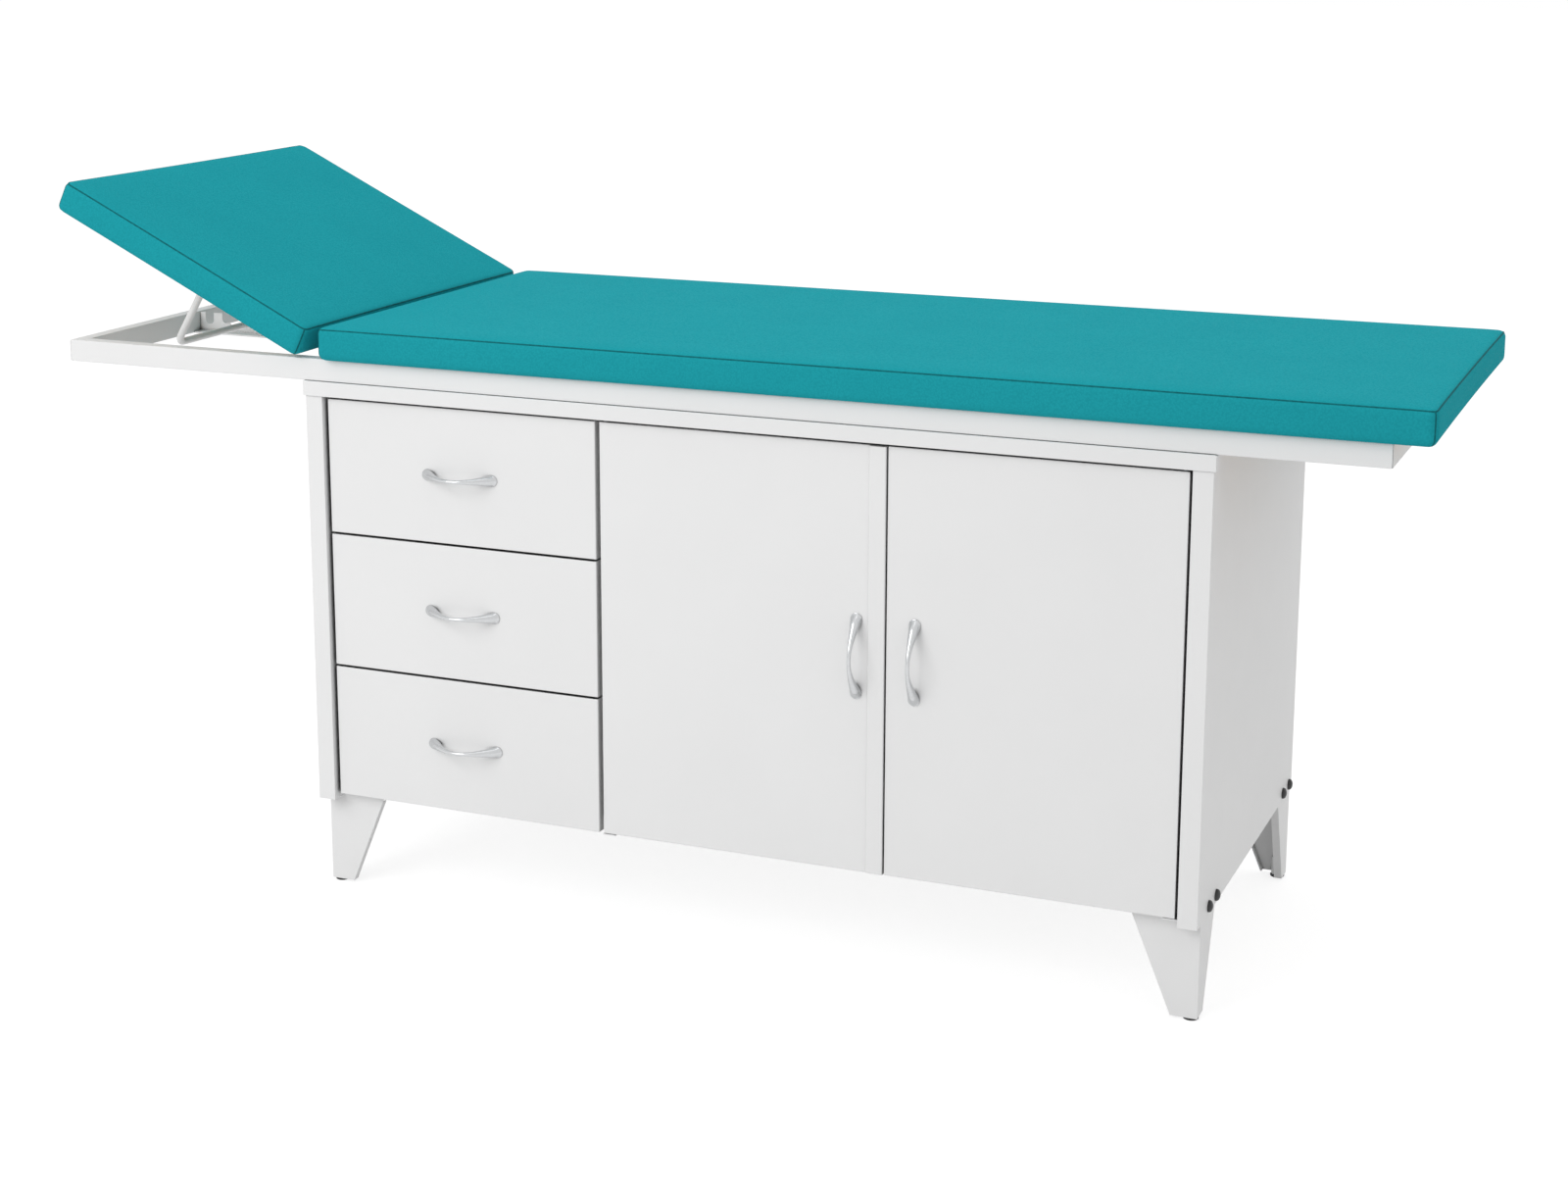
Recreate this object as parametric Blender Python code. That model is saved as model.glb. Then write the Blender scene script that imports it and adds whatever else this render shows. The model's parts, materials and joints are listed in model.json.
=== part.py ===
"""Examination table on a sheet-metal cupboard, with a head section that tilts on a prop bail.

Table coordinates: X runs to the foot end, Y to the rear and Z up from the floor, in metres, with X and
Y zero at the middle of the cupboard. The head section and its bail are modelled lying flat on their own
axes and are turned to their rest angles by the empties that carry them.
"""

import math

import bmesh
import bpy
from mathutils import Vector

# Fits
SEAT = 0.0003               # gap between pieces that touch
PIN_PLAY = 0.0002           # radial play of a pin that turns in its hole
SCREW_PLAY = 0.0003         # radial play of a screw or stud in its hole

# Cupboard shell
SHEET = 0.0015
CUPBOARD_WIDTH = 1.230
CUPBOARD_TOP_Z = 0.715
TOP_HEIGHT = 0.020
TOP_OVERHANG = 0.0025
TOP_RETURN = 0.040
PANEL_LAP = 0.024           # of the side panels over the legs
FOLD_WIDTH = 0.025          # flange beside the fronts
FOLD_DEPTH = 0.025          # return lip behind that flange
REAR_FOLD = 0.025
FLOOR_HEIGHT = 0.015
FLOOR_SETBACK = 0.003       # floor and divider behind the return lip
DIVIDER_FOLD = 0.012
SHELF_HEIGHT = 0.020
SHELF_SETBACK = 0.012
SHELF_RISE = 0.2627         # above the floor

# Drawer fronts and doors
FRONT_RECESS = 0.007
FRONT_DEPTH = 0.014
FRONT_RISE = 0.008          # above the side panels' lower edge
FRONT_TOP_GAP = 0.004
FRONT_EDGE = 0.0012         # rounding of a front's outer edge
SIDE_GAP = 0.0045
DRAWER_GAP = 0.0030
DRAWER_COUNT = 3
DRAWER_FRONT_WIDTH = 0.397
DIVIDER_GAP = 0.0064        # between the drawers and the left door
LEFT_DOOR_WIDTH = 0.3913
DOOR_GAP = 0.0015
STRIP_WIDTH = 0.022
STRIP_PROUD = 0.0026
STRIP_END_INSET = 0.0005

# Drawer boxes and their runners
BOX_WALL = 0.0012
BOX_INSET = 0.008
BOX_FLOOR_CLEARANCE = 0.0047
BOX_TOP_CLEARANCE = 0.009   # below the top of its front
BOX_REAR_CLEARANCE = 0.0516
LEDGE_THICKNESS = 0.002
LEDGE_UNDER_BOX = 0.008
LEDGE_START = 0.020         # behind the back of the fronts
LEDGE_REAR_CLEARANCE = 0.0494
POST_WIDTH = 0.020
POST_DEPTH_LEFT = 0.020
POST_DEPTH_RIGHT = 0.003
POST_INSET = 0.040          # from the ledges' ends
POST_TOP_GAP = 0.020

# Bow handles
HANDLE_CENTRES = 0.096
HANDLE_BOW = 0.0268
HANDLE_END_RADIUS = 0.0078
HANDLE_MID_RADIUS = 0.0024
STUD_RADIUS = 0.0020
STUD_HEAD_RADIUS = 0.0040
STUD_HEAD_HEIGHT = 0.0025
DOOR_HANDLE_INSET = 0.0385  # from the seam between the doors
DOOR_HANDLE_RISE = 0.284    # above the doors' lower edge

# Door pivots and catch
PIVOT_INSET = 0.007         # from the door's edge and from its face
PIVOT_RADIUS = 0.003
PIVOT_REACH = 0.006         # of a pin past the door's lip
PIVOT_HEAD_RADIUS = 0.006
PIVOT_HEAD_HEIGHT = 0.002
TAB_THICKNESS = 0.002
TAB_HALF_WIDTH = 0.009
TAB_FRONT = 0.005           # from the pivot to the tab's front edge
TAB_DROP = 0.001            # below the doors
TAB_UPRIGHT = 0.030
TAB_SKIRT = 0.0065
CATCH_WIDTH = 0.044
CATCH_DEPTH = 0.022
CATCH_HEIGHT = 0.014
CATCH_GAP = 0.0005

# Legs, bolts and levelling feet
LEG_SHEET = 0.002
LEG_TOP_Z = 0.152
LEG_FACE_TOP = 0.095
LEG_FACE_FOOT = 0.034
LEG_FLANK_TOP = 0.087
LEG_FLANK_FOOT = 0.029
LEG_LIP = 0.0105            # folded in along the free edges of the face and the flank
LEG_LIP_DROP = 0.004        # from the side panels' lower edge to the lips' upper end
LEG_LIP_STEP = 0.0001       # of the lips behind the sheet's edges
BOSS_RADIUS = 0.0083
BOSS_HEIGHT = 0.0245
BOSS_WELD = 0.0003          # depth of the boss in the leg's sheet
FOOT_RADIUS = 0.0098
FOOT_HEIGHT = 0.0032
FOOT_EDGE = 0.0006
STEM_RADIUS = 0.0040
STEM_TOP_Z = 0.035
BOLT_RISE = 0.011           # above the side panels' lower edge
BOLT_REAR_FIRST = 0.0182    # from a rear leg's corner
BOLT_FRONT_FIRST = 0.0327   # from a front leg's corner
BOLT_SPACING = 0.040
BOLT_RADIUS = 0.0030
DOME_RADIUS = 0.0075
DOME_HEIGHT = 0.0055
NUT_STRIP_THICKNESS = 0.003
NUT_STRIP_MARGIN = 0.008

# Tube frame
TUBE_HEIGHT = 0.030
TUBE_WIDTH = 0.020
TUBE_WALL = 0.002
FRAME_HEAD_X = -0.995
FRAME_FOOT_X = 0.818

# Mattress
PAD_WIDTH = 0.600
PAD_THICKNESS = 0.048
PAD_CROWN = 0.003
PAD_DRAW_IN = 0.0022
PAD_CORNER = 0.010
PAD_LOWER_ROUND = 0.009
PAD_SEAM_DEPTH = 0.0013
PAD_SEAM_BELOW_TOP = 0.0040
MAIN_PAD_FOOT_X = 0.868
HEAD_PAD_LENGTH = 0.419
BOARD_THICKNESS = 0.010
BOARD_INSET = 0.018         # the board is flush with the frame and the cupboard

# Head section hinge
HINGE_X = -0.619
HINGE_RISE = 0.0177         # above the frame's underside
HINGE_TO_HEAD_PAD = 0.006
HINGE_TO_MAIN_PAD = 0.033
HINGE_TO_CROSS_RAIL = 0.030
HINGE_INSET = 0.082         # of the hinge brackets from the frame's side
HINGE_PIN_RADIUS = 0.004
HINGE_PIN_HEAD = 0.007
HINGE_PIN_HEAD_HEIGHT = 0.003
LUG_RADIUS = 0.009
PLATE = 0.003
FLANGE = 0.0025
FLANGE_LAP = 0.0005         # of a bracket's flange past its plate
HINGE_FLANGE_LENGTH = 0.040
BRACKET_FLANGE_WIDTH = 0.026
HEAD_REST_TILT = math.radians(25.7)
HEAD_TOP_TILT = math.radians(30.0)

# Prop bail and rack
ROD_RADIUS = 0.005
ROD_BEND = 0.014
BAR_REST_RISE = 0.0247      # above the frame's underside
BAIL_INSET = 0.062          # of the bail's arms from the frame's side
BAIL_STUB = 0.024
BAIL_DROP = 0.014           # pivot below the pad
BAIL_ALONG = 0.2121         # pivot from the head hinge
BAIL_REST_ANGLE = math.radians(85.2)
BAIL_RATIO = 3.48
PROP_PLATE_INSET = 0.013    # from the bail's arm to the plate's outer face
PROP_PLAY = 0.0004
RACK_SHEET = 0.0025
RACK_FLANGE = 0.020
RACK_BACK_Y = 0.0045
RACK_TOP_GAP = 0.0013
RACK_PLAY = 0.0004
NOTCH_COUNT = 4
NOTCH_DEPTH = 0.003
STOP_NOTCH_INSET = 0.0167   # from the rack's head end
STOP_NOTCH_RADIUS = 0.007
STOP_NOTCH_RISE = 0.0187    # of its round bottom's centre above the frame's underside

# Facets
PIN_SIDES = 16
HANDLE_SIDES = 12
HANDLE_STEPS = 20
HANDLE_ARCH = 2.5           # power of the sine that the bow follows; 1 would be an ellipse
HANDLE_TAPER = 2.1          # power that draws the thick ends into the bow
HANDLE_LEAN = 0.9           # share of its height by which a section may lean back towards the front
ROD_SIDES = 12
ARC_STEPS = 6
EYE_STEPS = 8               # round ends of lugs and brackets
NOTCH_STEPS = 8
DOME_STEPS = (0, 32, 60, 80)
ROUND_STEPS = (0, 30, 60, 90)
PAD_SIDE_STEPS = 12
PAD_END_STEPS = 6
PAD_CORNER_STEPS = 4
CROWN_STEPS = (0.2, 0.45, 0.8)
SMOOTH_ANGLE = math.radians(35.0)

# Worked-out places
FRAME_DEPTH = PAD_WIDTH - 2 * BOARD_INSET
CUPBOARD_DEPTH = FRAME_DEPTH
HINGE_Y = FRAME_DEPTH / 2 - HINGE_INSET
BAIL_HALF_WIDTH = FRAME_DEPTH / 2 - BAIL_INSET
RACK_HEAD_X = FRAME_HEAD_X + TUBE_WIDTH + SEAT
STOP_NOTCH_X = RACK_HEAD_X + STOP_NOTCH_INSET
HALF_WIDTH = CUPBOARD_WIDTH / 2
FRONT_Y = -CUPBOARD_DEPTH / 2
REAR_Y = CUPBOARD_DEPTH / 2
TOP_UNDER_Z = CUPBOARD_TOP_Z - TOP_HEIGHT
PANEL_BOTTOM_Z = LEG_TOP_Z - PANEL_LAP
FRONT_BOTTOM_Z = PANEL_BOTTOM_Z + FRONT_RISE
BOLT_Z = PANEL_BOTTOM_Z + BOLT_RISE
DOOR_HANDLE_Z = FRONT_BOTTOM_Z + DOOR_HANDLE_RISE
PANEL_INNER_X = HALF_WIDTH - SHEET
OPENING_X = HALF_WIDTH - FOLD_WIDTH
LIP_BACK_Y = FRONT_Y + FOLD_DEPTH
INNER_FRONT_Y = LIP_BACK_Y + FLOOR_SETBACK
BACK_PANEL_Y = REAR_Y - SHEET - SEAT
INNER_REAR_Y = BACK_PANEL_Y - SHEET - SEAT
FLOOR_UNDER_Z = LEG_TOP_Z + SEAT
FLOOR_TOP_Z = FLOOR_UNDER_Z + FLOOR_HEIGHT
SHELF_TOP_Z = FLOOR_TOP_Z + SHELF_RISE
FACE_Y = FRONT_Y + FRONT_RECESS
FRONT_BACK_Y = FACE_Y + FRONT_DEPTH
SKIN_BACK_Y = FACE_Y + SHEET
FRONT_TOP_Z = TOP_UNDER_Z - FRONT_TOP_GAP
DRAWER_LEFT_X = -OPENING_X + SIDE_GAP
DRAWER_RIGHT_X = DRAWER_LEFT_X + DRAWER_FRONT_WIDTH
LEFT_DOOR_X = DRAWER_RIGHT_X + DIVIDER_GAP
LEFT_DOOR_END_X = LEFT_DOOR_X + LEFT_DOOR_WIDTH
RIGHT_DOOR_X = LEFT_DOOR_END_X + DOOR_GAP
RIGHT_DOOR_END_X = OPENING_X - SIDE_GAP
SEAM_X = (LEFT_DOOR_END_X + RIGHT_DOOR_X) / 2
DIVIDER_LEFT_X = (DRAWER_RIGHT_X + LEFT_DOOR_X - SHEET) / 2
DIVIDER_RIGHT_X = DIVIDER_LEFT_X + SHEET
DRAWER_PITCH = (FRONT_TOP_Z - FRONT_BOTTOM_Z + DRAWER_GAP) / DRAWER_COUNT
DRAWER_FRONT_HEIGHT = DRAWER_PITCH - DRAWER_GAP
BOX_FRONT_Y = SKIN_BACK_Y + SEAT
BOX_LENGTH = INNER_REAR_Y - BOX_REAR_CLEARANCE - BOX_FRONT_Y
BOX_BOTTOM_Z = FLOOR_TOP_Z + BOX_FLOOR_CLEARANCE
BOX_HEIGHT = FRONT_BOTTOM_Z + DRAWER_FRONT_HEIGHT - BOX_TOP_CLEARANCE - BOX_BOTTOM_Z
LEDGE_FRONT_Y = FRONT_BACK_Y + LEDGE_START
LEDGE_LENGTH = INNER_REAR_Y - LEDGE_REAR_CLEARANCE - LEDGE_FRONT_Y
PIVOT_Y = FACE_Y + PIVOT_INSET
LEFT_PIVOT_X = LEFT_DOOR_X + PIVOT_INSET
RIGHT_PIVOT_X = RIGHT_DOOR_END_X - PIVOT_INSET
TAB_TOP_Z = FRONT_BOTTOM_Z - TAB_DROP
LEG_OUTER_X = PANEL_INNER_X - SEAT
LEG_FRONT_Y = LIP_BACK_Y + SEAT
LEG_REAR_Y = REAR_Y - SHEET - SEAT
LEG_BOTTOM_Z = FOOT_HEIGHT + SEAT
BOSS_INSET = LEG_SHEET + BOSS_RADIUS - BOSS_WELD
FRAME_BOTTOM_Z = CUPBOARD_TOP_Z + SEAT
FRAME_TOP_Z = FRAME_BOTTOM_Z + TUBE_HEIGHT
PAD_BOTTOM_Z = FRAME_TOP_Z + SEAT
HINGE_Z = FRAME_BOTTOM_Z + HINGE_RISE
PAD_ABOVE_HINGE = PAD_BOTTOM_Z - HINGE_Z
MAIN_PAD_HEAD_X = HINGE_X + HINGE_TO_MAIN_PAD
CROSS_RAIL_X = HINGE_X + HINGE_TO_CROSS_RAIL
BAIL_ABOVE_HINGE = PAD_ABOVE_HINGE - BAIL_DROP
BAIL_ABOVE_REST = BAIL_ALONG * math.sin(HEAD_REST_TILT) + BAIL_ABOVE_HINGE * math.cos(HEAD_REST_TILT)
BAIL_REST_RISE = HINGE_RISE + BAIL_ABOVE_REST
BAIL_LENGTH = (BAIL_REST_RISE - BAR_REST_RISE) / math.sin(BAIL_REST_ANGLE - HEAD_REST_TILT)
HANDLE_FRONT_Y = FACE_Y - SEAT - HANDLE_BOW - HANDLE_MID_RADIUS
CENTRE_X = (FRAME_HEAD_X + MAIN_PAD_FOOT_X) / 2
CENTRE_Y = (HANDLE_FRONT_Y + PAD_WIDTH / 2) / 2

# Finishes: sRGB colour, roughness, metallic
FINISHES = {
    "white_paint": ("E4E5E5", 0.42, 0.0),
    "teal_leatherette": ("1F97A3", 0.48, 0.0),
    "satin_chrome": ("C9CACB", 0.24, 1.0),
    "zinc_steel": ("A9ACAE", 0.38, 1.0),
    "black_plastic": ("1B1B1C", 0.50, 0.0),
    "plywood": ("B58B5C", 0.70, 0.0),
}


def linear(hex_colour):
    """Return the linear RGBA values of an sRGB colour."""
    values = [int(hex_colour[i:i + 2], 16) / 255 for i in (0, 2, 4)]
    return [v / 12.92 if v <= 0.04045 else ((v + 0.055) / 1.055) ** 2.4 for v in values] + [1.0]


def finish(name):
    """Return the material of this name, making it the first time."""
    material = bpy.data.materials.get(name)
    if material is None:
        colour, roughness, metallic = FINISHES[name]
        material = bpy.data.materials.new(name)
        material.use_nodes = True
        shader = material.node_tree.nodes["Principled BSDF"]
        shader.inputs["Base Color"].default_value = linear(colour)
        shader.inputs["Roughness"].default_value = roughness
        shader.inputs["Metallic"].default_value = metallic
    return material


class Carrier:
    """An empty that carries pieces; table_point is the table place of its origin for pieces drawn there."""

    def __init__(self, name, location, parent=None, turn=0.0, table_point=(0.0, 0.0, 0.0)):
        self.empty = bpy.data.objects.new(name, None)
        self.empty.location = location
        self.empty.rotation_euler = (0.0, turn, 0.0)
        if parent is not None:
            self.empty.parent = parent.empty
        self.table_point = Vector(table_point)
        bpy.context.scene.collection.objects.link(self.empty)

    def hold(self, name, bm):
        """Make an object of the bmesh under this carrier."""
        bmesh.ops.translate(bm, vec=-self.table_point, verts=bm.verts)
        bmesh.ops.recalc_face_normals(bm, faces=bm.faces)
        mesh = bpy.data.meshes.new(name)
        bm.to_mesh(mesh)
        bm.free()
        mesh.shade_smooth()
        mesh.set_sharp_from_angle(angle=SMOOTH_ANGLE)
        held = bpy.data.objects.new(name, mesh)
        held.parent = self.empty
        bpy.context.scene.collection.objects.link(held)
        return held

    def add(self, name, bm, finish_name):
        """Make a piece of the object."""
        piece = self.hold(name, bm)
        piece.data.materials.append(finish(finish_name))
        return piece

    def combine(self, piece, bm, operation):
        """Join the bmesh to a piece, or cut it out, through a hidden helper."""
        count = len(piece.modifiers) + 1
        helper = self.hold(f"{piece.name}_{operation.lower()}_{count}", bm)
        helper.hide_render = True
        helper.display_type = "WIRE"
        boolean = piece.modifiers.new(f"{operation.title()} {count}", "BOOLEAN")
        boolean.operation = operation
        boolean.solver = "EXACT"
        boolean.object = helper

    def cut(self, piece, bm):
        """Cut the bmesh out of a piece."""
        self.combine(piece, bm, "DIFFERENCE")

    def join(self, piece, bm):
        """Join the bmesh to a piece as one body."""
        self.combine(piece, bm, "UNION")


def box(low, high):
    """Return a bmesh box between two corners."""
    bm = bmesh.new()
    bmesh.ops.create_cube(bm, size=1.0)
    size = Vector(high) - Vector(low)
    bmesh.ops.scale(bm, vec=size, verts=bm.verts)
    bmesh.ops.translate(bm, vec=(Vector(high) + Vector(low)) / 2, verts=bm.verts)
    return bm


def face_towards(bm, direction):
    """Return the face that looks most nearly along a direction."""
    bm.normal_update()
    return max(bm.faces, key=lambda face: face.normal.dot(Vector(direction)) * face.calc_area())


def push_face(bm, face, move):
    """Extrude one face by a vector and return the new face."""
    grown = bmesh.ops.extrude_discrete_faces(bm, faces=[face])["faces"][0]
    bmesh.ops.translate(bm, vec=Vector(move), verts=grown.verts)
    return grown


def round_edges(bm, direction):
    """Round the edges of the side that faces a direction."""
    edges = list(face_towards(bm, direction).edges)
    bmesh.ops.bevel(bm, geom=edges, offset=FRONT_EDGE, offset_type="OFFSET", segments=2, profile=0.5,
                    affect="EDGES", material=-1)


def hollow(bm, direction, wall, depth):
    """Sink the side that faces a direction, leaving walls round it."""
    face = face_towards(bm, direction)
    bmesh.ops.inset_region(bm, faces=[face], thickness=wall, use_even_offset=True)
    push_face(bm, face, Vector(direction) * -depth)


def sweep(rings):
    """Return a closed body through rings of points, each with as many points as the first."""
    bm = bmesh.new()
    first = [bm.verts.new(point) for point in rings[0]]
    face = bm.faces.new(first)
    for ring in rings[1:]:
        face = bmesh.ops.extrude_discrete_faces(bm, faces=[face])["faces"][0]
        for vert, point in zip(face.verts, ring):
            vert.co = point
    bm.faces.new(first)
    return bm


def sleeve(rings):
    """Return a ring-shaped body: each ring joined to the next, point to point, and the last to the first."""
    bm = bmesh.new()
    loops = [[bm.verts.new(point) for point in ring] for ring in rings]
    for here, there in zip(loops, loops[1:] + loops[:1]):
        for i in range(len(here)):
            bm.faces.new((here[i - 1], here[i], there[i], there[i - 1]))
    return bm


AXES = {
    "X": lambda a, b, along: Vector((along, a, b)),
    "Y": lambda a, b, along: Vector((a, along, b)),
    "Z": lambda a, b, along: Vector((a, b, along)),
}


def prism(outline, axis, start, end):
    """Return an outline extruded along an axis; its points hold the other two coordinates in order."""
    return sweep([[AXES[axis](a, b, along) for a, b in outline] for along in (start, end)])


def turned(profile, axis, centre, sides=PIN_SIDES):
    """Return a turned body; profile holds places along the axis and radii, centre the other coordinates."""
    rings = []
    for along, radius in profile:
        angles = [math.tau * (i + 0.5) / sides for i in range(sides)]
        rings.append([AXES[axis](centre[0] + radius * math.cos(a), centre[1] + radius * math.sin(a), along)
                      for a in angles])
    return sweep(rings)


def rod(axis, centre, radius, start, end):
    """Return a straight round rod or hole."""
    return turned([(start, radius), (end, radius)], axis, centre)


def arc(centre, radius, start, end, steps=ARC_STEPS):
    """Return points on an arc, with angles in radians."""
    turns = [start + (end - start) * i / steps for i in range(steps + 1)]
    return [(centre[0] + radius * math.cos(t), centre[1] + radius * math.sin(t)) for t in turns]


# Cupboard shell


def bolt_places(end):
    """Return the Y of the two bolts of a front (-1) or rear (1) leg."""
    first = LEG_FRONT_Y + BOLT_FRONT_FIRST if end < 0 else LEG_REAR_Y - BOLT_REAR_FIRST
    return [first, first - end * BOLT_SPACING]


def bolt_holes(carrier, piece, side, ends):
    """Drill a piece for the leg bolts of one side."""
    radius = BOLT_RADIUS + SCREW_PLAY
    for end in ends:
        for y in bolt_places(end):
            outer = side * (HALF_WIDTH + SHEET)
            inner = side * (LEG_OUTER_X - 2 * LEG_SHEET)
            carrier.cut(piece, rod("X", (y, BOLT_Z), radius, inner, outer))


def build_side_panel(table, name, side):
    """Side panel with a box fold at its front edge and a flange at its rear edge."""
    outline = [
        (HALF_WIDTH, FRONT_Y),
        (HALF_WIDTH, REAR_Y),
        (HALF_WIDTH - REAR_FOLD, REAR_Y),
        (HALF_WIDTH - REAR_FOLD, REAR_Y - SHEET),
        (PANEL_INNER_X, REAR_Y - SHEET),
        (PANEL_INNER_X, FRONT_Y + SHEET),
        (OPENING_X + SHEET, FRONT_Y + SHEET),
        (OPENING_X + SHEET, LIP_BACK_Y),
        (OPENING_X, LIP_BACK_Y),
        (OPENING_X, FRONT_Y),
    ]
    bm = prism([(side * x, y) for x, y in outline], "Z", PANEL_BOTTOM_Z, TOP_UNDER_Z - SEAT)
    panel = table.add(name, bm, "white_paint")
    bolt_holes(table, panel, side, (-1, 1))


def build_top(table):
    """Top tray, open below inside a return flange that takes the upper door pivots."""
    reach_x = HALF_WIDTH + TOP_OVERHANG
    reach_y = CUPBOARD_DEPTH / 2 + TOP_OVERHANG
    bm = box((-reach_x, -reach_y, TOP_UNDER_Z), (reach_x, reach_y, CUPBOARD_TOP_Z))
    round_edges(bm, (0, 0, 1))
    face = face_towards(bm, (0, 0, -1))
    bmesh.ops.inset_region(bm, faces=[face], thickness=TOP_RETURN, use_even_offset=True)
    face = push_face(bm, face, (0, 0, SHEET))
    face = push_face(bm, face, (0, 0, 0))
    grow_x = (reach_x - SHEET) / (reach_x - TOP_RETURN)
    grow_y = (reach_y - SHEET) / (reach_y - TOP_RETURN)
    bmesh.ops.scale(bm, vec=(grow_x, grow_y, 1.0), verts=face.verts)
    push_face(bm, face, (0, 0, TOP_HEIGHT - 2 * SHEET))
    top = table.add("cabinet_top", bm, "white_paint")
    for x in (LEFT_PIVOT_X, RIGHT_PIVOT_X):
        hole = rod("Z", (x, PIVOT_Y), PIVOT_RADIUS + SCREW_PLAY, TOP_UNDER_Z - SHEET, TOP_UNDER_Z + 2 * SHEET)
        table.cut(top, hole)


def build_inner_shell(table):
    """Back, floor, divider and shelf."""
    back = box((-LEG_OUTER_X, BACK_PANEL_Y - SHEET, FLOOR_UNDER_Z),
               (LEG_OUTER_X, BACK_PANEL_Y, TOP_UNDER_Z - SEAT))
    table.add("cabinet_back", back, "white_paint")
    floor = box((-LEG_OUTER_X, INNER_FRONT_Y, FLOOR_UNDER_Z), (LEG_OUTER_X, INNER_REAR_Y, FLOOR_TOP_Z))
    hollow(floor, (0, 0, -1), SHEET, FLOOR_HEIGHT - SHEET)
    table.add("cabinet_floor", floor, "white_paint")
    outline = [
        (DIVIDER_LEFT_X, INNER_FRONT_Y),
        (DIVIDER_LEFT_X + DIVIDER_FOLD, INNER_FRONT_Y),
        (DIVIDER_LEFT_X + DIVIDER_FOLD, INNER_FRONT_Y + SHEET),
        (DIVIDER_RIGHT_X, INNER_FRONT_Y + SHEET),
        (DIVIDER_RIGHT_X, INNER_REAR_Y),
        (DIVIDER_LEFT_X, INNER_REAR_Y),
    ]
    divider = prism(outline, "Z", FLOOR_TOP_Z + SEAT, TOP_UNDER_Z - SEAT)
    table.add("divider_panel", divider, "white_paint")
    shelf = box((DIVIDER_RIGHT_X + SEAT, INNER_FRONT_Y + SHELF_SETBACK, SHELF_TOP_Z - SHELF_HEIGHT),
                (LEG_OUTER_X, INNER_REAR_Y, SHELF_TOP_Z))
    hollow(shelf, (0, 0, -1), SHEET, SHELF_HEIGHT - SHEET)
    table.add("cupboard_shelf", shelf, "white_paint")


# Legs


def leg_widths(z):
    """Return how wide the face and the flank of a leg are at a height."""
    share = (z - LEG_BOTTOM_Z) / (LEG_TOP_Z - LEG_BOTTOM_Z)
    face = LEG_FACE_FOOT + share * (LEG_FACE_TOP - LEG_FACE_FOOT)
    flank = LEG_FLANK_FOOT + share * (LEG_FLANK_TOP - LEG_FLANK_FOOT)
    return face, flank


def angle_section(z):
    """Return a leg's angle at a height, measured from its outer corner along the face and along the flank."""
    face, flank = leg_widths(z)
    return [(0, 0), (face, 0), (face, LEG_SHEET), (LEG_SHEET, LEG_SHEET), (LEG_SHEET, flank), (0, flank)]


def face_lip_section(z):
    """Return the lip along the free edge of a leg's face at a height."""
    edge = leg_widths(z)[0] - LEG_LIP_STEP
    inner = edge - LEG_SHEET
    return [(inner, LEG_SHEET / 2), (edge, LEG_SHEET / 2), (edge, LEG_LIP), (inner, LEG_LIP)]


def flank_lip_section(z):
    """Return the lip along the free edge of a leg's flank at a height."""
    edge = leg_widths(z)[1] - LEG_LIP_STEP
    inner = edge - LEG_SHEET
    return [(LEG_SHEET / 2, inner), (LEG_LIP, inner), (LEG_LIP, edge), (LEG_SHEET / 2, edge)]


def leg_body(side, end, section, z_start, z_end):
    """Return a section of a leg drawn between two heights; end is -1 at the front and 1 at the rear."""
    corner_y = LEG_FRONT_Y if end < 0 else LEG_REAR_Y
    rings = []
    for z in (z_start, z_end):
        rings.append([Vector((side * (LEG_OUTER_X - u), corner_y - end * v, z)) for u, v in section(z)])
    return sweep(rings)


def build_leg(table, suffix, side, end):
    """Tapered leg with its lips, its boss, its levelling foot and its pair of bolts."""
    angle = leg_body(side, end, angle_section, LEG_BOTTOM_Z, LEG_TOP_Z)
    leg = table.add(f"leg_{suffix}", angle, "white_paint")
    lip_top = PANEL_BOTTOM_Z - LEG_LIP_DROP
    for lip_section in (face_lip_section, flank_lip_section):
        table.join(leg, leg_body(side, end, lip_section, LEG_BOTTOM_Z + LEG_LIP_STEP, lip_top))
    corner_y = LEG_FRONT_Y if end < 0 else LEG_REAR_Y
    centre = (side * (LEG_OUTER_X - BOSS_INSET), corner_y - end * BOSS_INSET)
    boss_top = LEG_BOTTOM_Z + BOSS_HEIGHT
    table.join(leg, rod("Z", centre, BOSS_RADIUS, LEG_BOTTOM_Z, boss_top))
    table.cut(leg, rod("Z", centre, STEM_RADIUS + PIN_PLAY, LEG_BOTTOM_Z - SHEET, boss_top + SHEET))
    bolt_holes(table, leg, side, (end,))
    profile = [
        (0.0, FOOT_RADIUS - FOOT_EDGE),
        (FOOT_EDGE, FOOT_RADIUS),
        (FOOT_HEIGHT - FOOT_EDGE, FOOT_RADIUS),
        (FOOT_HEIGHT, FOOT_RADIUS - FOOT_EDGE),
        (FOOT_HEIGHT, STEM_RADIUS),
        (STEM_TOP_Z, STEM_RADIUS),
    ]
    table.add(f"levelling_foot_{suffix}", turned(profile, "Z", centre), "black_plastic")
    build_bolts(table, suffix, side, end)


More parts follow.
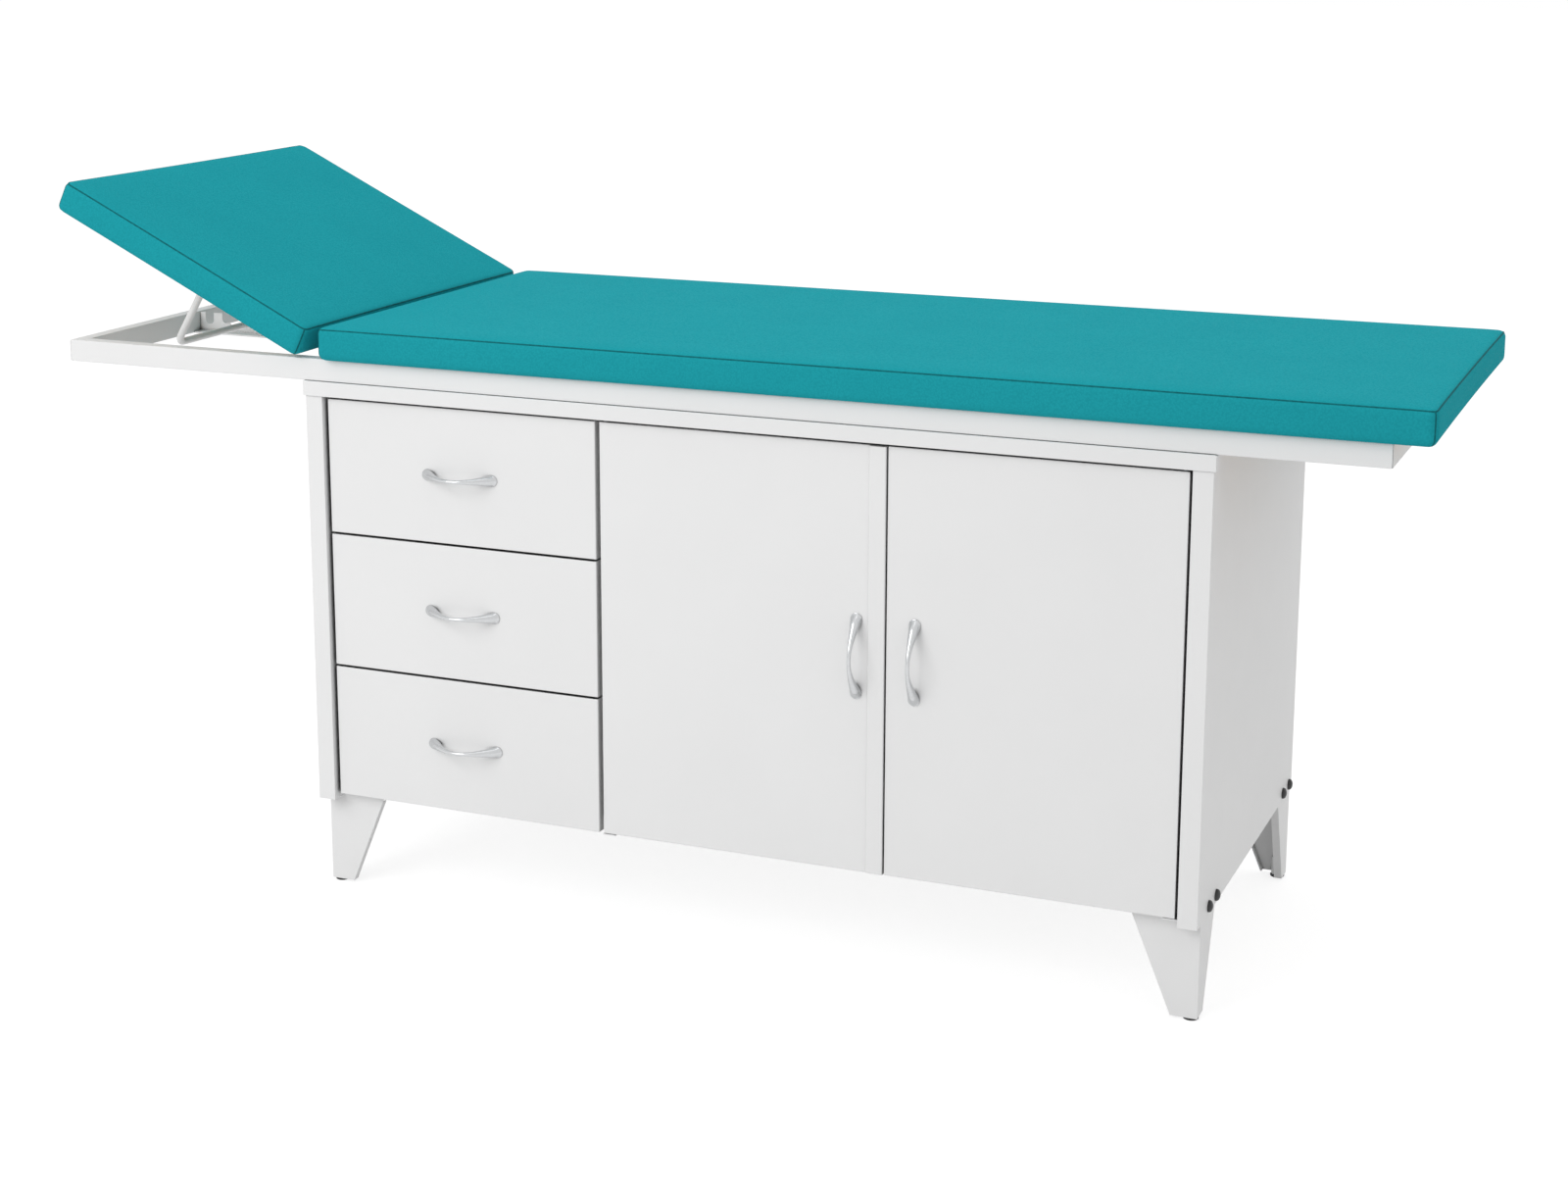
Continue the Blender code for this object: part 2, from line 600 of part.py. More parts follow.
def build_bolts(table, suffix, side, end):
    """Two domed bolts through the side panel and the leg, joined by the nut strip behind them."""
    places = bolt_places(end)
    strip_outer = LEG_OUTER_X - LEG_SHEET - SEAT
    strip_inner = strip_outer - NUT_STRIP_THICKNESS
    faces = (side * strip_inner, side * strip_outer)
    strip = box((min(faces), min(places) - NUT_STRIP_MARGIN, BOLT_Z - NUT_STRIP_MARGIN),
                (max(faces), max(places) + NUT_STRIP_MARGIN, BOLT_Z + NUT_STRIP_MARGIN))
    bolts = table.add(f"leg_bolts_{suffix}", strip, "black_plastic")
    dome_base = HALF_WIDTH + SEAT
    dome = [(dome_base + DOME_HEIGHT * math.sin(t), DOME_RADIUS * math.cos(t))
            for t in map(math.radians, DOME_STEPS)]
    profile = [(strip_inner + NUT_STRIP_THICKNESS / 2, BOLT_RADIUS), (dome_base, BOLT_RADIUS)] + dome
    for y in places:
        table.join(bolts, turned([(side * x, r) for x, r in profile], "X", (y, BOLT_Z)))


# Drawers


def build_runners(table):
    """A ladder of ledges on two posts at each side of the drawers."""
    start = LEDGE_FRONT_Y
    end = LEDGE_FRONT_Y + LEDGE_LENGTH
    sides = {
        "left": (-LEG_OUTER_X, POST_DEPTH_LEFT, DRAWER_LEFT_X + BOX_INSET + LEDGE_UNDER_BOX),
        "right": (DIVIDER_LEFT_X - SEAT, -POST_DEPTH_RIGHT, DRAWER_RIGHT_X - BOX_INSET - LEDGE_UNDER_BOX),
    }
    for name, (wall_x, depth, ledge_x) in sides.items():
        ladder = None
        for index in range(DRAWER_COUNT):
            top = BOX_BOTTOM_Z + index * DRAWER_PITCH - SEAT
            ledge = box((min(wall_x, ledge_x), start, top - LEDGE_THICKNESS),
                        (max(wall_x, ledge_x), end, top))
            if ladder is None:
                ladder = table.add(f"drawer_runners_{name}", ledge, "zinc_steel")
            else:
                table.join(ladder, ledge)
        for y in (start + POST_INSET, end - POST_INSET - POST_WIDTH):
            post = box((min(wall_x, wall_x + depth), y, FLOOR_TOP_Z + SEAT),
                       (max(wall_x, wall_x + depth), y + POST_WIDTH, TOP_UNDER_Z - POST_TOP_GAP))
            table.join(ladder, post)


def front_pan(x_start, x_end, z_start, z_end):
    """Return a folded front, open at the back, with its outer edge rounded."""
    bm = box((x_start, FACE_Y, z_start), (x_end, FRONT_BACK_Y, z_end))
    round_edges(bm, (0, -1, 0))
    hollow(bm, (0, 1, 0), SHEET, FRONT_DEPTH - SHEET)
    return bm


def handle_ring(along, across, centre, place, out, heading, radius):
    """Return one ring of a handle, square to its heading."""
    forward = Vector((0, -1, 0))
    middle = centre + along * place + forward * out
    normal = across.cross(heading)
    angles = [math.tau * i / HANDLE_SIDES for i in range(HANDLE_SIDES)]
    return [middle + radius * (math.cos(a) * across + math.sin(a) * normal) for a in angles]


def handle_section(turn):
    """Return a handle's place along its length, height, lean and radius, with the turn from 0 to pi."""
    half = HANDLE_CENTRES / 2
    height = HANDLE_BOW * math.sin(turn) ** HANDLE_ARCH
    climb = HANDLE_BOW * HANDLE_ARCH * math.sin(turn) ** (HANDLE_ARCH - 1) * abs(math.cos(turn))
    radius = HANDLE_MID_RADIUS + (HANDLE_END_RADIUS - HANDLE_MID_RADIUS) * abs(math.cos(turn)) ** HANDLE_TAPER
    square = math.atan2(half * math.sin(turn), climb)
    lean = min(square, math.asin(min(1.0, HANDLE_LEAN * height / radius)))
    return -half * math.cos(turn), height, lean, radius


def build_handle(carrier, name, centre_x, centre_z, upright, grip):
    """Bow handle with round feet, and the studs that hold it to a front of the given grip."""
    along = Vector((0, 0, 1)) if upright else Vector((1, 0, 0))
    across = Vector((1, 0, 0)) if upright else Vector((0, 0, 1))
    forward = Vector((0, -1, 0))
    centre = Vector((centre_x, FACE_Y, centre_z))
    half = HANDLE_CENTRES / 2
    inside = -grip - SEAT
    stud = [(inside - STUD_HEAD_HEIGHT, STUD_HEAD_RADIUS), (inside, STUD_HEAD_RADIUS), (inside, STUD_RADIUS),
            (SEAT, STUD_RADIUS)]
    rings = [handle_ring(along, across, centre, -half, out, forward, radius) for out, radius in stud]
    for i in range(HANDLE_STEPS + 1):
        turn = math.pi * i / HANDLE_STEPS
        place, height, lean, radius = handle_section(turn)
        outward = forward if 2 * i < HANDLE_STEPS else -forward
        heading = outward * math.cos(lean) + along * math.sin(lean)
        rings.append(handle_ring(along, across, centre, place, SEAT + height, heading, radius))
    rings += [handle_ring(along, across, centre, half, out, -forward, radius)
              for out, radius in reversed(stud)]
    carrier.add(name, sweep(rings), "satin_chrome")


def stud_holes(carrier, piece, centre_x, centre_z, upright, depth):
    """Drill a front, or what lies behind it, for a handle's studs."""
    for place in (-HANDLE_CENTRES / 2, HANDLE_CENTRES / 2):
        x = centre_x if upright else centre_x + place
        z = centre_z + place if upright else centre_z
        carrier.cut(piece, rod("Y", (x, z), STUD_RADIUS + SCREW_PLAY, FACE_Y - SHEET, FACE_Y + depth))


def box_ring(inset, z):
    """Return a drawer box's plan at a height, inset all round."""
    low_x = DRAWER_LEFT_X + BOX_INSET + inset
    high_x = DRAWER_RIGHT_X - BOX_INSET - inset
    low_y = BOX_FRONT_Y + inset
    high_y = BOX_FRONT_Y + BOX_LENGTH - inset
    return [Vector((low_x, low_y, z)), Vector((high_x, low_y, z)),
            Vector((high_x, high_y, z)), Vector((low_x, high_y, z))]


def build_drawer(table, name, index):
    """Drawer on its own slide: front, base plate, box walls that stand on it, and handle."""
    z_start = FRONT_BOTTOM_Z + index * DRAWER_PITCH
    centre_x = (DRAWER_LEFT_X + DRAWER_RIGHT_X) / 2
    centre_z = z_start + DRAWER_FRONT_HEIGHT / 2
    place = (centre_x, FACE_Y, centre_z)
    slide = Carrier(f"{name}_slide", place, table, table_point=place)
    pan = front_pan(DRAWER_LEFT_X, DRAWER_RIGHT_X, z_start, z_start + DRAWER_FRONT_HEIGHT)
    front = slide.add(f"{name}_front", pan, "white_paint")
    bottom = BOX_BOTTOM_Z + index * DRAWER_PITCH
    slide.add(f"{name}_base", sweep([box_ring(0.0, bottom), box_ring(0.0, bottom + BOX_WALL)]), "white_paint")
    low = bottom + BOX_WALL + SEAT
    high = bottom + BOX_HEIGHT
    walls = sleeve([box_ring(0.0, low), box_ring(0.0, high),
                    box_ring(BOX_WALL, high), box_ring(BOX_WALL, low)])
    drawer_box = slide.add(f"{name}_box", walls, "white_paint")
    grip = SHEET + SEAT + BOX_WALL
    for piece in (front, drawer_box):
        stud_holes(slide, piece, centre_x, centre_z, False, grip + SHEET)
    build_handle(slide, f"{name}_handle", centre_x, centre_z, False, grip)


# Doors


def build_door(table, side, x_start, x_end, pivot_x, handle_x):
    """Door on its own pivot: folded pan, handle and, on the left door, the cover strip."""
    place = (pivot_x, PIVOT_Y, FRONT_BOTTOM_Z)
    hinge = Carrier(f"door_{side}_pivot", place, table, table_point=place)
    door = hinge.add(f"door_{side}", front_pan(x_start, x_end, FRONT_BOTTOM_Z, FRONT_TOP_Z), "white_paint")
    for z in (FRONT_BOTTOM_Z, FRONT_TOP_Z):
        hinge.cut(door, rod("Z", (pivot_x, PIVOT_Y), PIVOT_RADIUS + PIN_PLAY, z - 2 * SHEET, z + 2 * SHEET))
    stud_holes(hinge, door, handle_x, DOOR_HANDLE_Z, True, 2 * SHEET)
    build_handle(hinge, f"door_{side}_handle", handle_x, DOOR_HANDLE_Z, True, SHEET)
    return hinge


def build_strip(hinge):
    """Raised strip down the closing edge of the left door."""
    bm = box((LEFT_DOOR_END_X - STRIP_WIDTH, FACE_Y - SEAT - STRIP_PROUD, FRONT_BOTTOM_Z + STRIP_END_INSET),
             (LEFT_DOOR_END_X, FACE_Y - SEAT, FRONT_TOP_Z - STRIP_END_INSET))
    round_edges(bm, (0, -1, 0))
    hinge.add("door_strip", bm, "white_paint")


def build_pivots(table):
    """Upper pivot pins in the top's flange, and lower pivots on the floor's lip and the right panel's lip."""
    for side, x in (("left", LEFT_PIVOT_X), ("right", RIGHT_PIVOT_X)):
        seat = TOP_UNDER_Z + SHEET + SEAT
        profile = [
            (FRONT_TOP_Z - PIVOT_REACH, PIVOT_RADIUS),
            (seat, PIVOT_RADIUS),
            (seat, PIVOT_HEAD_RADIUS),
            (seat + PIVOT_HEAD_HEIGHT, PIVOT_HEAD_RADIUS),
        ]
        table.add(f"door_upper_pivot_{side}", turned(profile, "Z", (x, PIVOT_Y)), "zinc_steel")
    tab_bottom = TAB_TOP_Z - TAB_THICKNESS
    upright_back = INNER_FRONT_Y - SEAT
    left_tab = [
        (PIVOT_Y - TAB_FRONT, tab_bottom),
        (upright_back, tab_bottom),
        (upright_back, tab_bottom + TAB_UPRIGHT),
        (upright_back - TAB_THICKNESS, tab_bottom + TAB_UPRIGHT),
        (upright_back - TAB_THICKNESS, TAB_TOP_Z),
        (PIVOT_Y - TAB_FRONT, TAB_TOP_Z),
    ]
    plate = prism(left_tab, "X", LEFT_PIVOT_X - TAB_HALF_WIDTH, LEFT_PIVOT_X + TAB_HALF_WIDTH)
    left = table.add("door_lower_pivot_left", plate, "white_paint")
    skirt_x = OPENING_X - SEAT
    right_tab = [
        (RIGHT_PIVOT_X - TAB_HALF_WIDTH, tab_bottom),
        (skirt_x - TAB_THICKNESS, tab_bottom),
        (skirt_x - TAB_THICKNESS, TAB_TOP_Z - TAB_SKIRT),
        (skirt_x, TAB_TOP_Z - TAB_SKIRT),
        (skirt_x, TAB_TOP_Z),
        (RIGHT_PIVOT_X - TAB_HALF_WIDTH, TAB_TOP_Z),
    ]
    plate = prism(right_tab, "Y", PIVOT_Y - TAB_FRONT, PIVOT_Y + TAB_HALF_WIDTH)
    right = table.add("door_lower_pivot_right", plate, "white_paint")
    for pivot, x in ((left, LEFT_PIVOT_X), (right, RIGHT_PIVOT_X)):
        root = TAB_TOP_Z - TAB_THICKNESS / 2
        pin = rod("Z", (x, PIVOT_Y), PIVOT_RADIUS, root, FRONT_BOTTOM_Z + PIVOT_REACH)
        table.join(pivot, pin)


def build_catch(table):
    """Magnetic catch that both doors close on, under the top's flange."""
    start = FRONT_BACK_Y + CATCH_GAP
    top = TOP_UNDER_Z - SEAT
    bm = box((SEAM_X - CATCH_WIDTH / 2, start, top - CATCH_HEIGHT),
             (SEAM_X + CATCH_WIDTH / 2, start + CATCH_DEPTH, top))
    table.add("door_catch", bm, "black_plastic")


# Frame


def tube_ring(points, inset):
    """Return a rail's section at one end; points are its outer and inner plan corners, inset the wall."""
    (outer_x, outer_y), (inner_x, inner_y) = points
    share = inset / TUBE_WIDTH
    near = (outer_x + (inner_x - outer_x) * share, outer_y + (inner_y - outer_y) * share)
    far = (inner_x + (outer_x - inner_x) * share, inner_y + (outer_y - inner_y) * share)
    low = FRAME_BOTTOM_Z + inset
    high = FRAME_TOP_Z - inset
    return [Vector((*near, low)), Vector((*far, low)), Vector((*far, high)), Vector((*near, high))]


def rail(start, end):
    """Return a tube between two ends, each given as its outer and inner plan corners."""
    return sleeve([tube_ring(start, 0.0), tube_ring(end, 0.0),
                   tube_ring(end, TUBE_WALL), tube_ring(start, TUBE_WALL)])


def build_frame(table):
    """Four mitred rails and the cross rail with the lugs of the head hinge."""
    reach = FRAME_DEPTH / 2
    slit = SEAT * math.sqrt(0.5)
    corners = {}
    for end_name, x, inward in (("head", FRAME_HEAD_X, 1), ("foot", FRAME_FOOT_X, -1)):
        for side_name, y in (("front", -1), ("rear", 1)):
            outer = Vector((x, y * reach))
            inner = Vector((x + inward * TUBE_WIDTH, y * (reach - TUBE_WIDTH)))
            moves = (Vector((inward * slit, 0.0)), Vector((0.0, -y * slit)))
            corners[end_name, side_name] = (outer, inner, *moves)
    for side_name in ("front", "rear"):
        ends = [[corner + along for corner in (outer, inner)]
                for outer, inner, along, _ in (corners["head", side_name], corners["foot", side_name])]
        table.add(f"frame_rail_{side_name}", rail(*ends), "white_paint")
    for end_name in ("head", "foot"):
        ends = [[corner + along for corner in (outer, inner)]
                for outer, inner, _, along in (corners[end_name, "front"], corners[end_name, "rear"])]
        table.add(f"frame_rail_{end_name}", rail(*ends), "white_paint")
    inside = reach - TUBE_WIDTH - SEAT
    ends = [(Vector((CROSS_RAIL_X, y)), Vector((CROSS_RAIL_X + TUBE_WIDTH, y))) for y in (-inside, inside)]
    cross = table.add("frame_cross_rail", rail(*ends), "white_paint")
    tip = arc((HINGE_X, HINGE_Z), LUG_RADIUS, math.radians(90), math.radians(270), EYE_STEPS)
    root = CROSS_RAIL_X + TUBE_WALL / 2
    outline = tip + [(root, HINGE_Z - LUG_RADIUS), (root, HINGE_Z + LUG_RADIUS)]
    for side in (-1, 1):
        lug_outer = HINGE_Y - SEAT
        lug = prism(outline, "Y", side * (lug_outer - PLATE), side * lug_outer)
        table.join(cross, lug)
        hole = rod("Y", (HINGE_X, HINGE_Z), HINGE_PIN_RADIUS + SCREW_PLAY, side * (lug_outer - 2 * PLATE),
                   side * (lug_outer + PLATE))
        table.cut(cross, hole)


def bail_bar(tilt):
    """Return the X and Z of the bail's bar at a head tilt."""
    pivot_x = HINGE_X - BAIL_ALONG * math.cos(tilt) + BAIL_ABOVE_HINGE * math.sin(tilt)
    pivot_z = HINGE_Z + BAIL_ALONG * math.sin(tilt) + BAIL_ABOVE_HINGE * math.cos(tilt)
    swing = BAIL_REST_ANGLE + BAIL_RATIO * (tilt - HEAD_REST_TILT) - tilt
    return Vector((pivot_x - BAIL_LENGTH * math.cos(swing), pivot_z - BAIL_LENGTH * math.sin(swing)))


def rack_edge(rack_top):
    """Return the rack's notched edge, which clears the bar at every tilt, from the foot end to the head end.

    It ends in the valley that the bar lies in with the head section flat.
    """
    steps = NOTCH_STEPS * NOTCH_COUNT
    valley = NOTCH_STEPS // 2
    reach = ROD_RADIUS + RACK_PLAY
    path = [bail_bar(HEAD_TOP_TILT * i / steps) for i in range(steps + 1)]
    edge = []
    for i, point in enumerate(path):
        ahead = path[min(i + 1, steps)] - path[max(i - 1, 0)]
        below = Vector((ahead.y, -ahead.x)).normalized()
        depth = NOTCH_DEPTH * (0.5 - 0.5 * math.cos(math.tau * NOTCH_COUNT * i / steps))
        edge.append(tuple(point + below * (reach + depth)))
    raised = path[-1]
    lift = math.asin((rack_top - raised.y) / reach)
    last = math.atan2(edge[-1][1] - raised.y, edge[-1][0] - raised.x)
    foot_arc = arc(raised, reach, lift, last)[:-1]
    lowered = path[valley]
    room = reach + NOTCH_DEPTH
    first = math.atan2(edge[valley][1] - lowered.y, edge[valley][0] - lowered.x)
    head_arc = arc(lowered, room, first, -math.pi)[1:]
    return foot_arc + edge[:valley - 1:-1] + head_arc + [(lowered.x - room, rack_top)]


def build_rack(table):
    """Rack angle along the middle of the frame, which the bail's bar stands on."""
    start = RACK_HEAD_X
    end = CROSS_RAIL_X - SEAT
    top = FRAME_TOP_Z - RACK_TOP_GAP
    stop = (STOP_NOTCH_X, FRAME_BOTTOM_Z + STOP_NOTCH_RISE)
    stop_notch = arc(stop, STOP_NOTCH_RADIUS, 0.0, -math.pi, EYE_STEPS)
    outline = [(start, FRAME_BOTTOM_Z), (end, FRAME_BOTTOM_Z), (end, top)]
    outline += rack_edge(top)
    outline += [(STOP_NOTCH_X + STOP_NOTCH_RADIUS, top)]
    outline += stop_notch
    outline += [(STOP_NOTCH_X - STOP_NOTCH_RADIUS, top), (start, top)]
    web = prism(outline, "Y", RACK_BACK_Y - RACK_SHEET, RACK_BACK_Y)
    rack = table.add("rack_angle", web, "white_paint")
    flange = box((start, RACK_BACK_Y - RACK_FLANGE, FRAME_BOTTOM_Z),
                 (end, RACK_BACK_Y - RACK_SHEET / 2, FRAME_BOTTOM_Z + RACK_SHEET))
    table.join(rack, flange)


# Mattress


def pad_ring(x_start, x_end, inset, draw_in, z):
    """Return a rounded rectangle of the pad's plan, inset all round, its sides drawn in at their middles."""
    half = PAD_WIDTH / 2 - inset
    low = x_start + inset
    high = x_end - inset
    radius = PAD_CORNER
    corners = [(high - radius, -half + radius, -90), (high - radius, half - radius, 0),
               (low + radius, half - radius, 90), (low + radius, -half + radius, 180)]
    counts = (PAD_END_STEPS, PAD_SIDE_STEPS, PAD_END_STEPS, PAD_SIDE_STEPS)
    points = []
    for i, (x, y, angle) in enumerate(corners):
        points += arc((x, y), radius, math.radians(angle), math.radians(angle + 90), PAD_CORNER_STEPS)
        next_x, next_y, next_angle = corners[(i + 1) % 4]
        begin = Vector(points[-1])
        turn = math.radians(next_angle)
        finish_x, finish_y = arc((next_x, next_y), radius, turn, turn, 1)[0]
        inward = Vector((-math.cos(math.radians(angle + 90)), -math.sin(math.radians(angle + 90))))
        for k in range(1, counts[i]):
            share = k / counts[i]
            straight = begin.lerp(Vector((finish_x, finish_y)), share)
            points.append(tuple(straight + inward * draw_in * math.sin(math.pi * share)))
    return [Vector((x, y, z)) for x, y in points]


def cushion(x_start, x_end, bottom):
    """Return a cushion: a recess for its board, a rounded lower edge, drawn-in sides, a seam and a crown."""
    edge = bottom + PAD_THICKNESS - PAD_CROWN
    seam = edge - PAD_SEAM_BELOW_TOP
    recess = BOARD_INSET - SEAT
    rounding = [(PAD_LOWER_ROUND * (1 - math.sin(t)), PAD_LOWER_ROUND * (1 - math.cos(t)))
                for t in map(math.radians, ROUND_STEPS)]
    rings = [(recess, 0.0, bottom + BOARD_THICKNESS + SEAT), (recess, 0.0, bottom)]
    rings += [(inset, 0.0, bottom + rise) for inset, rise in rounding]
    rings += [(0.0, PAD_DRAW_IN, (bottom + PAD_LOWER_ROUND + seam) / 2)]
    rings += [(0.0, PAD_DRAW_IN / 2, seam - PAD_SEAM_DEPTH), (PAD_SEAM_DEPTH, PAD_DRAW_IN / 2, seam)]
    rings += [(0.0, PAD_DRAW_IN / 2, seam + PAD_SEAM_DEPTH), (PAD_SEAM_BELOW_TOP / 2, 0.0, edge)]
    reach = min(PAD_WIDTH, x_end - x_start) / 2 - PAD_CORNER
    rings += [(reach * share, 0.0, edge + PAD_CROWN * math.sin(share * math.pi / 2)) for share in CROWN_STEPS]
    return sweep([pad_ring(x_start, x_end, inset, draw_in, z) for inset, draw_in, z in rings])


def board(x_start, x_end, bottom):
    """Return the board that fits in the cushion's recess."""
    return sweep([pad_ring(x_start, x_end, BOARD_INSET, 0.0, z) for z in (bottom, bottom + BOARD_THICKNESS)])


def build_head(table):
    """Head section on the hinge: cushion, board, hinge brackets, bail brackets and the bail."""
    head = Carrier("head_hinge", (HINGE_X, 0.0, HINGE_Z), table, turn=HEAD_REST_TILT)
    near = -HINGE_TO_HEAD_PAD
    far = near - HEAD_PAD_LENGTH
    bottom = PAD_ABOVE_HINGE
    head.add("head_board", board(far, near, bottom), "plywood")
    head.add("head_cushion", cushion(far, near, bottom), "teal_leatherette")
    flange_top = bottom - SEAT
    for name, side in (("front", -1), ("rear", 1)):
        build_hinge_bracket(head, name, side, near - BOARD_INSET, flange_top)
        build_prop_bracket(head, name, side, flange_top)
        pin_start = HINGE_Y - SEAT - 2 * PLATE
        seat = HINGE_Y + PLATE + SEAT
        profile = [(pin_start, HINGE_PIN_RADIUS), (seat, HINGE_PIN_RADIUS), (seat, HINGE_PIN_HEAD),
                   (seat + HINGE_PIN_HEAD_HEIGHT, HINGE_PIN_HEAD)]
        pin = turned([(side * y, r) for y, r in profile], "Y", (HINGE_X, HINGE_Z))
        table.add(f"head_hinge_pin_{name}", pin, "zinc_steel")
    build_bail(head)


def build_hinge_bracket(head, name, side, board_end, flange_top):
    """Plate on the hinge pin with a flange under the head board."""
    flange_start = board_end - HINGE_FLANGE_LENGTH
    plate_top = flange_top - FLANGE / 2
    outline = [(board_end - FLANGE_LAP, plate_top), (flange_start + FLANGE_LAP, plate_top)]
    outline += arc((0.0, 0.0), LUG_RADIUS, math.radians(225), math.radians(450), EYE_STEPS)
    plate = prism(outline, "Y", side * HINGE_Y, side * (HINGE_Y + PLATE))
    bracket = head.add(f"head_hinge_bracket_{name}", plate, "zinc_steel")
    wide = side * (HINGE_Y + BRACKET_FLANGE_WIDTH)
    root = side * (HINGE_Y - FLANGE_LAP)
    flange = box((flange_start, min(root, wide), flange_top - FLANGE),
                 (board_end, max(root, wide), flange_top))
    head.join(bracket, flange)
    radius = HINGE_PIN_RADIUS + PIN_PLAY
    hole = rod("Y", (0.0, 0.0), radius, side * (HINGE_Y - PLATE), side * (HINGE_Y + 2 * PLATE))
    head.cut(bracket, hole)


def build_prop_bracket(head, name, side, flange_top):
    """Plate with the eye of the bail's pivot and a flange under the head board."""
    eye = (-BAIL_ALONG, BAIL_ABOVE_HINGE)
    start = eye[0] - 2 * LUG_RADIUS
    end = eye[0] + 2 * LUG_RADIUS
    outer = BAIL_HALF_WIDTH - PROP_PLATE_INSET
    plate_top = flange_top - FLANGE / 2
    outline = arc(eye, LUG_RADIUS, math.radians(180), math.radians(360), EYE_STEPS)
    outline += [(end - FLANGE_LAP, plate_top), (start + FLANGE_LAP, plate_top)]
    plate = prism(outline, "Y", side * (outer - PLATE), side * outer)
    bracket = head.add(f"prop_bracket_{name}", plate, "zinc_steel")
    wide = side * (outer - BRACKET_FLANGE_WIDTH)
    root = side * (outer + FLANGE_LAP)
    flange = box((start, min(root, wide), flange_top - FLANGE), (end, max(root, wide), flange_top))
    head.join(bracket, flange)
    hole = rod("Y", eye, ROD_RADIUS + PROP_PLAY, side * (outer - 2 * PLATE), side * (outer + PLATE))
    head.cut(bracket, hole)


def build_bail(head):
    """Bent rod: a stub in each bracket, two arms and the bar between them."""
    prop = Carrier("prop_pivot", (-BAIL_ALONG, 0.0, BAIL_ABOVE_HINGE), head, turn=-BAIL_REST_ANGLE)
    half = BAIL_HALF_WIDTH
    turns = [
        ((-ROD_BEND, half - ROD_BEND), 0, 90),
        ((ROD_BEND - BAIL_LENGTH, half - ROD_BEND), 90, 180),
        ((ROD_BEND - BAIL_LENGTH, ROD_BEND - half), 180, 270),
        ((-ROD_BEND, ROD_BEND - half), 270, 360),
    ]
    path = [Vector((0.0, half - BAIL_STUB))]
    for centre, start, end in turns:
        path += [Vector(p) for p in arc(centre, ROD_BEND, math.radians(start), math.radians(end), ARC_STEPS)]
    path.append(Vector((0.0, BAIL_STUB - half)))
    rings = []
    for i, point in enumerate(path):
        ahead = (path[min(i + 1, len(path) - 1)] - path[max(i - 1, 0)]).normalized()
        across = Vector((-ahead.y, ahead.x))
        angles = [math.tau * (k + 0.5) / ROD_SIDES for k in range(ROD_SIDES)]
        rings.append([Vector((*(point + across * ROD_RADIUS * math.cos(a)), ROD_RADIUS * math.sin(a)))
                      for a in angles])
    prop.add("prop_bail", sweep(rings), "white_paint")


def main():
    """Build the table with its origin on the floor, under the middle of its bounding box."""
    for old in list(bpy.data.objects):
        bpy.data.objects.remove(old, do_unlink=True)
    table = Carrier("examination_table", (-CENTRE_X, -CENTRE_Y, 0.0))
    build_side_panel(table, "side_panel_left", -1)
    build_side_panel(table, "side_panel_right", 1)
    build_top(table)
    build_inner_shell(table)
    for end_name, end in (("front", -1), ("rear", 1)):
        for side_name, side in (("left", -1), ("right", 1)):
            build_leg(table, f"{end_name}_{side_name}", side, end)
    build_runners(table)
    for index, name in enumerate(("drawer_bottom", "drawer_middle", "drawer_top")):
        build_drawer(table, name, index)
    left_handle_x = SEAM_X - DOOR_HANDLE_INSET
    right_handle_x = SEAM_X + DOOR_HANDLE_INSET
    left_hinge = build_door(table, "left", LEFT_DOOR_X, LEFT_DOOR_END_X, LEFT_PIVOT_X, left_handle_x)
    build_strip(left_hinge)
    build_door(table, "right", RIGHT_DOOR_X, RIGHT_DOOR_END_X, RIGHT_PIVOT_X, right_handle_x)
    build_pivots(table)
    build_catch(table)
    build_frame(table)
    build_rack(table)
    table.add("main_board", board(MAIN_PAD_HEAD_X, MAIN_PAD_FOOT_X, PAD_BOTTOM_Z), "plywood")
    table.add("main_cushion", cushion(MAIN_PAD_HEAD_X, MAIN_PAD_FOOT_X, PAD_BOTTOM_Z), "teal_leatherette")
    build_head(table)
    bpy.context.view_layer.update()


main()
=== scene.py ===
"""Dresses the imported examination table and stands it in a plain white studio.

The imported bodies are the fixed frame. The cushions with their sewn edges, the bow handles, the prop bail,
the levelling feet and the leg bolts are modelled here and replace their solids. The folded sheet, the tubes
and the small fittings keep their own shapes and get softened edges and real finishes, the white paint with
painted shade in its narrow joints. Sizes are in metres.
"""

import json
import logging
import math
from collections.abc import Sequence
from dataclasses import dataclass
from enum import Enum
from typing import Any

import bmesh
import bpy
from mathutils import Matrix, Vector

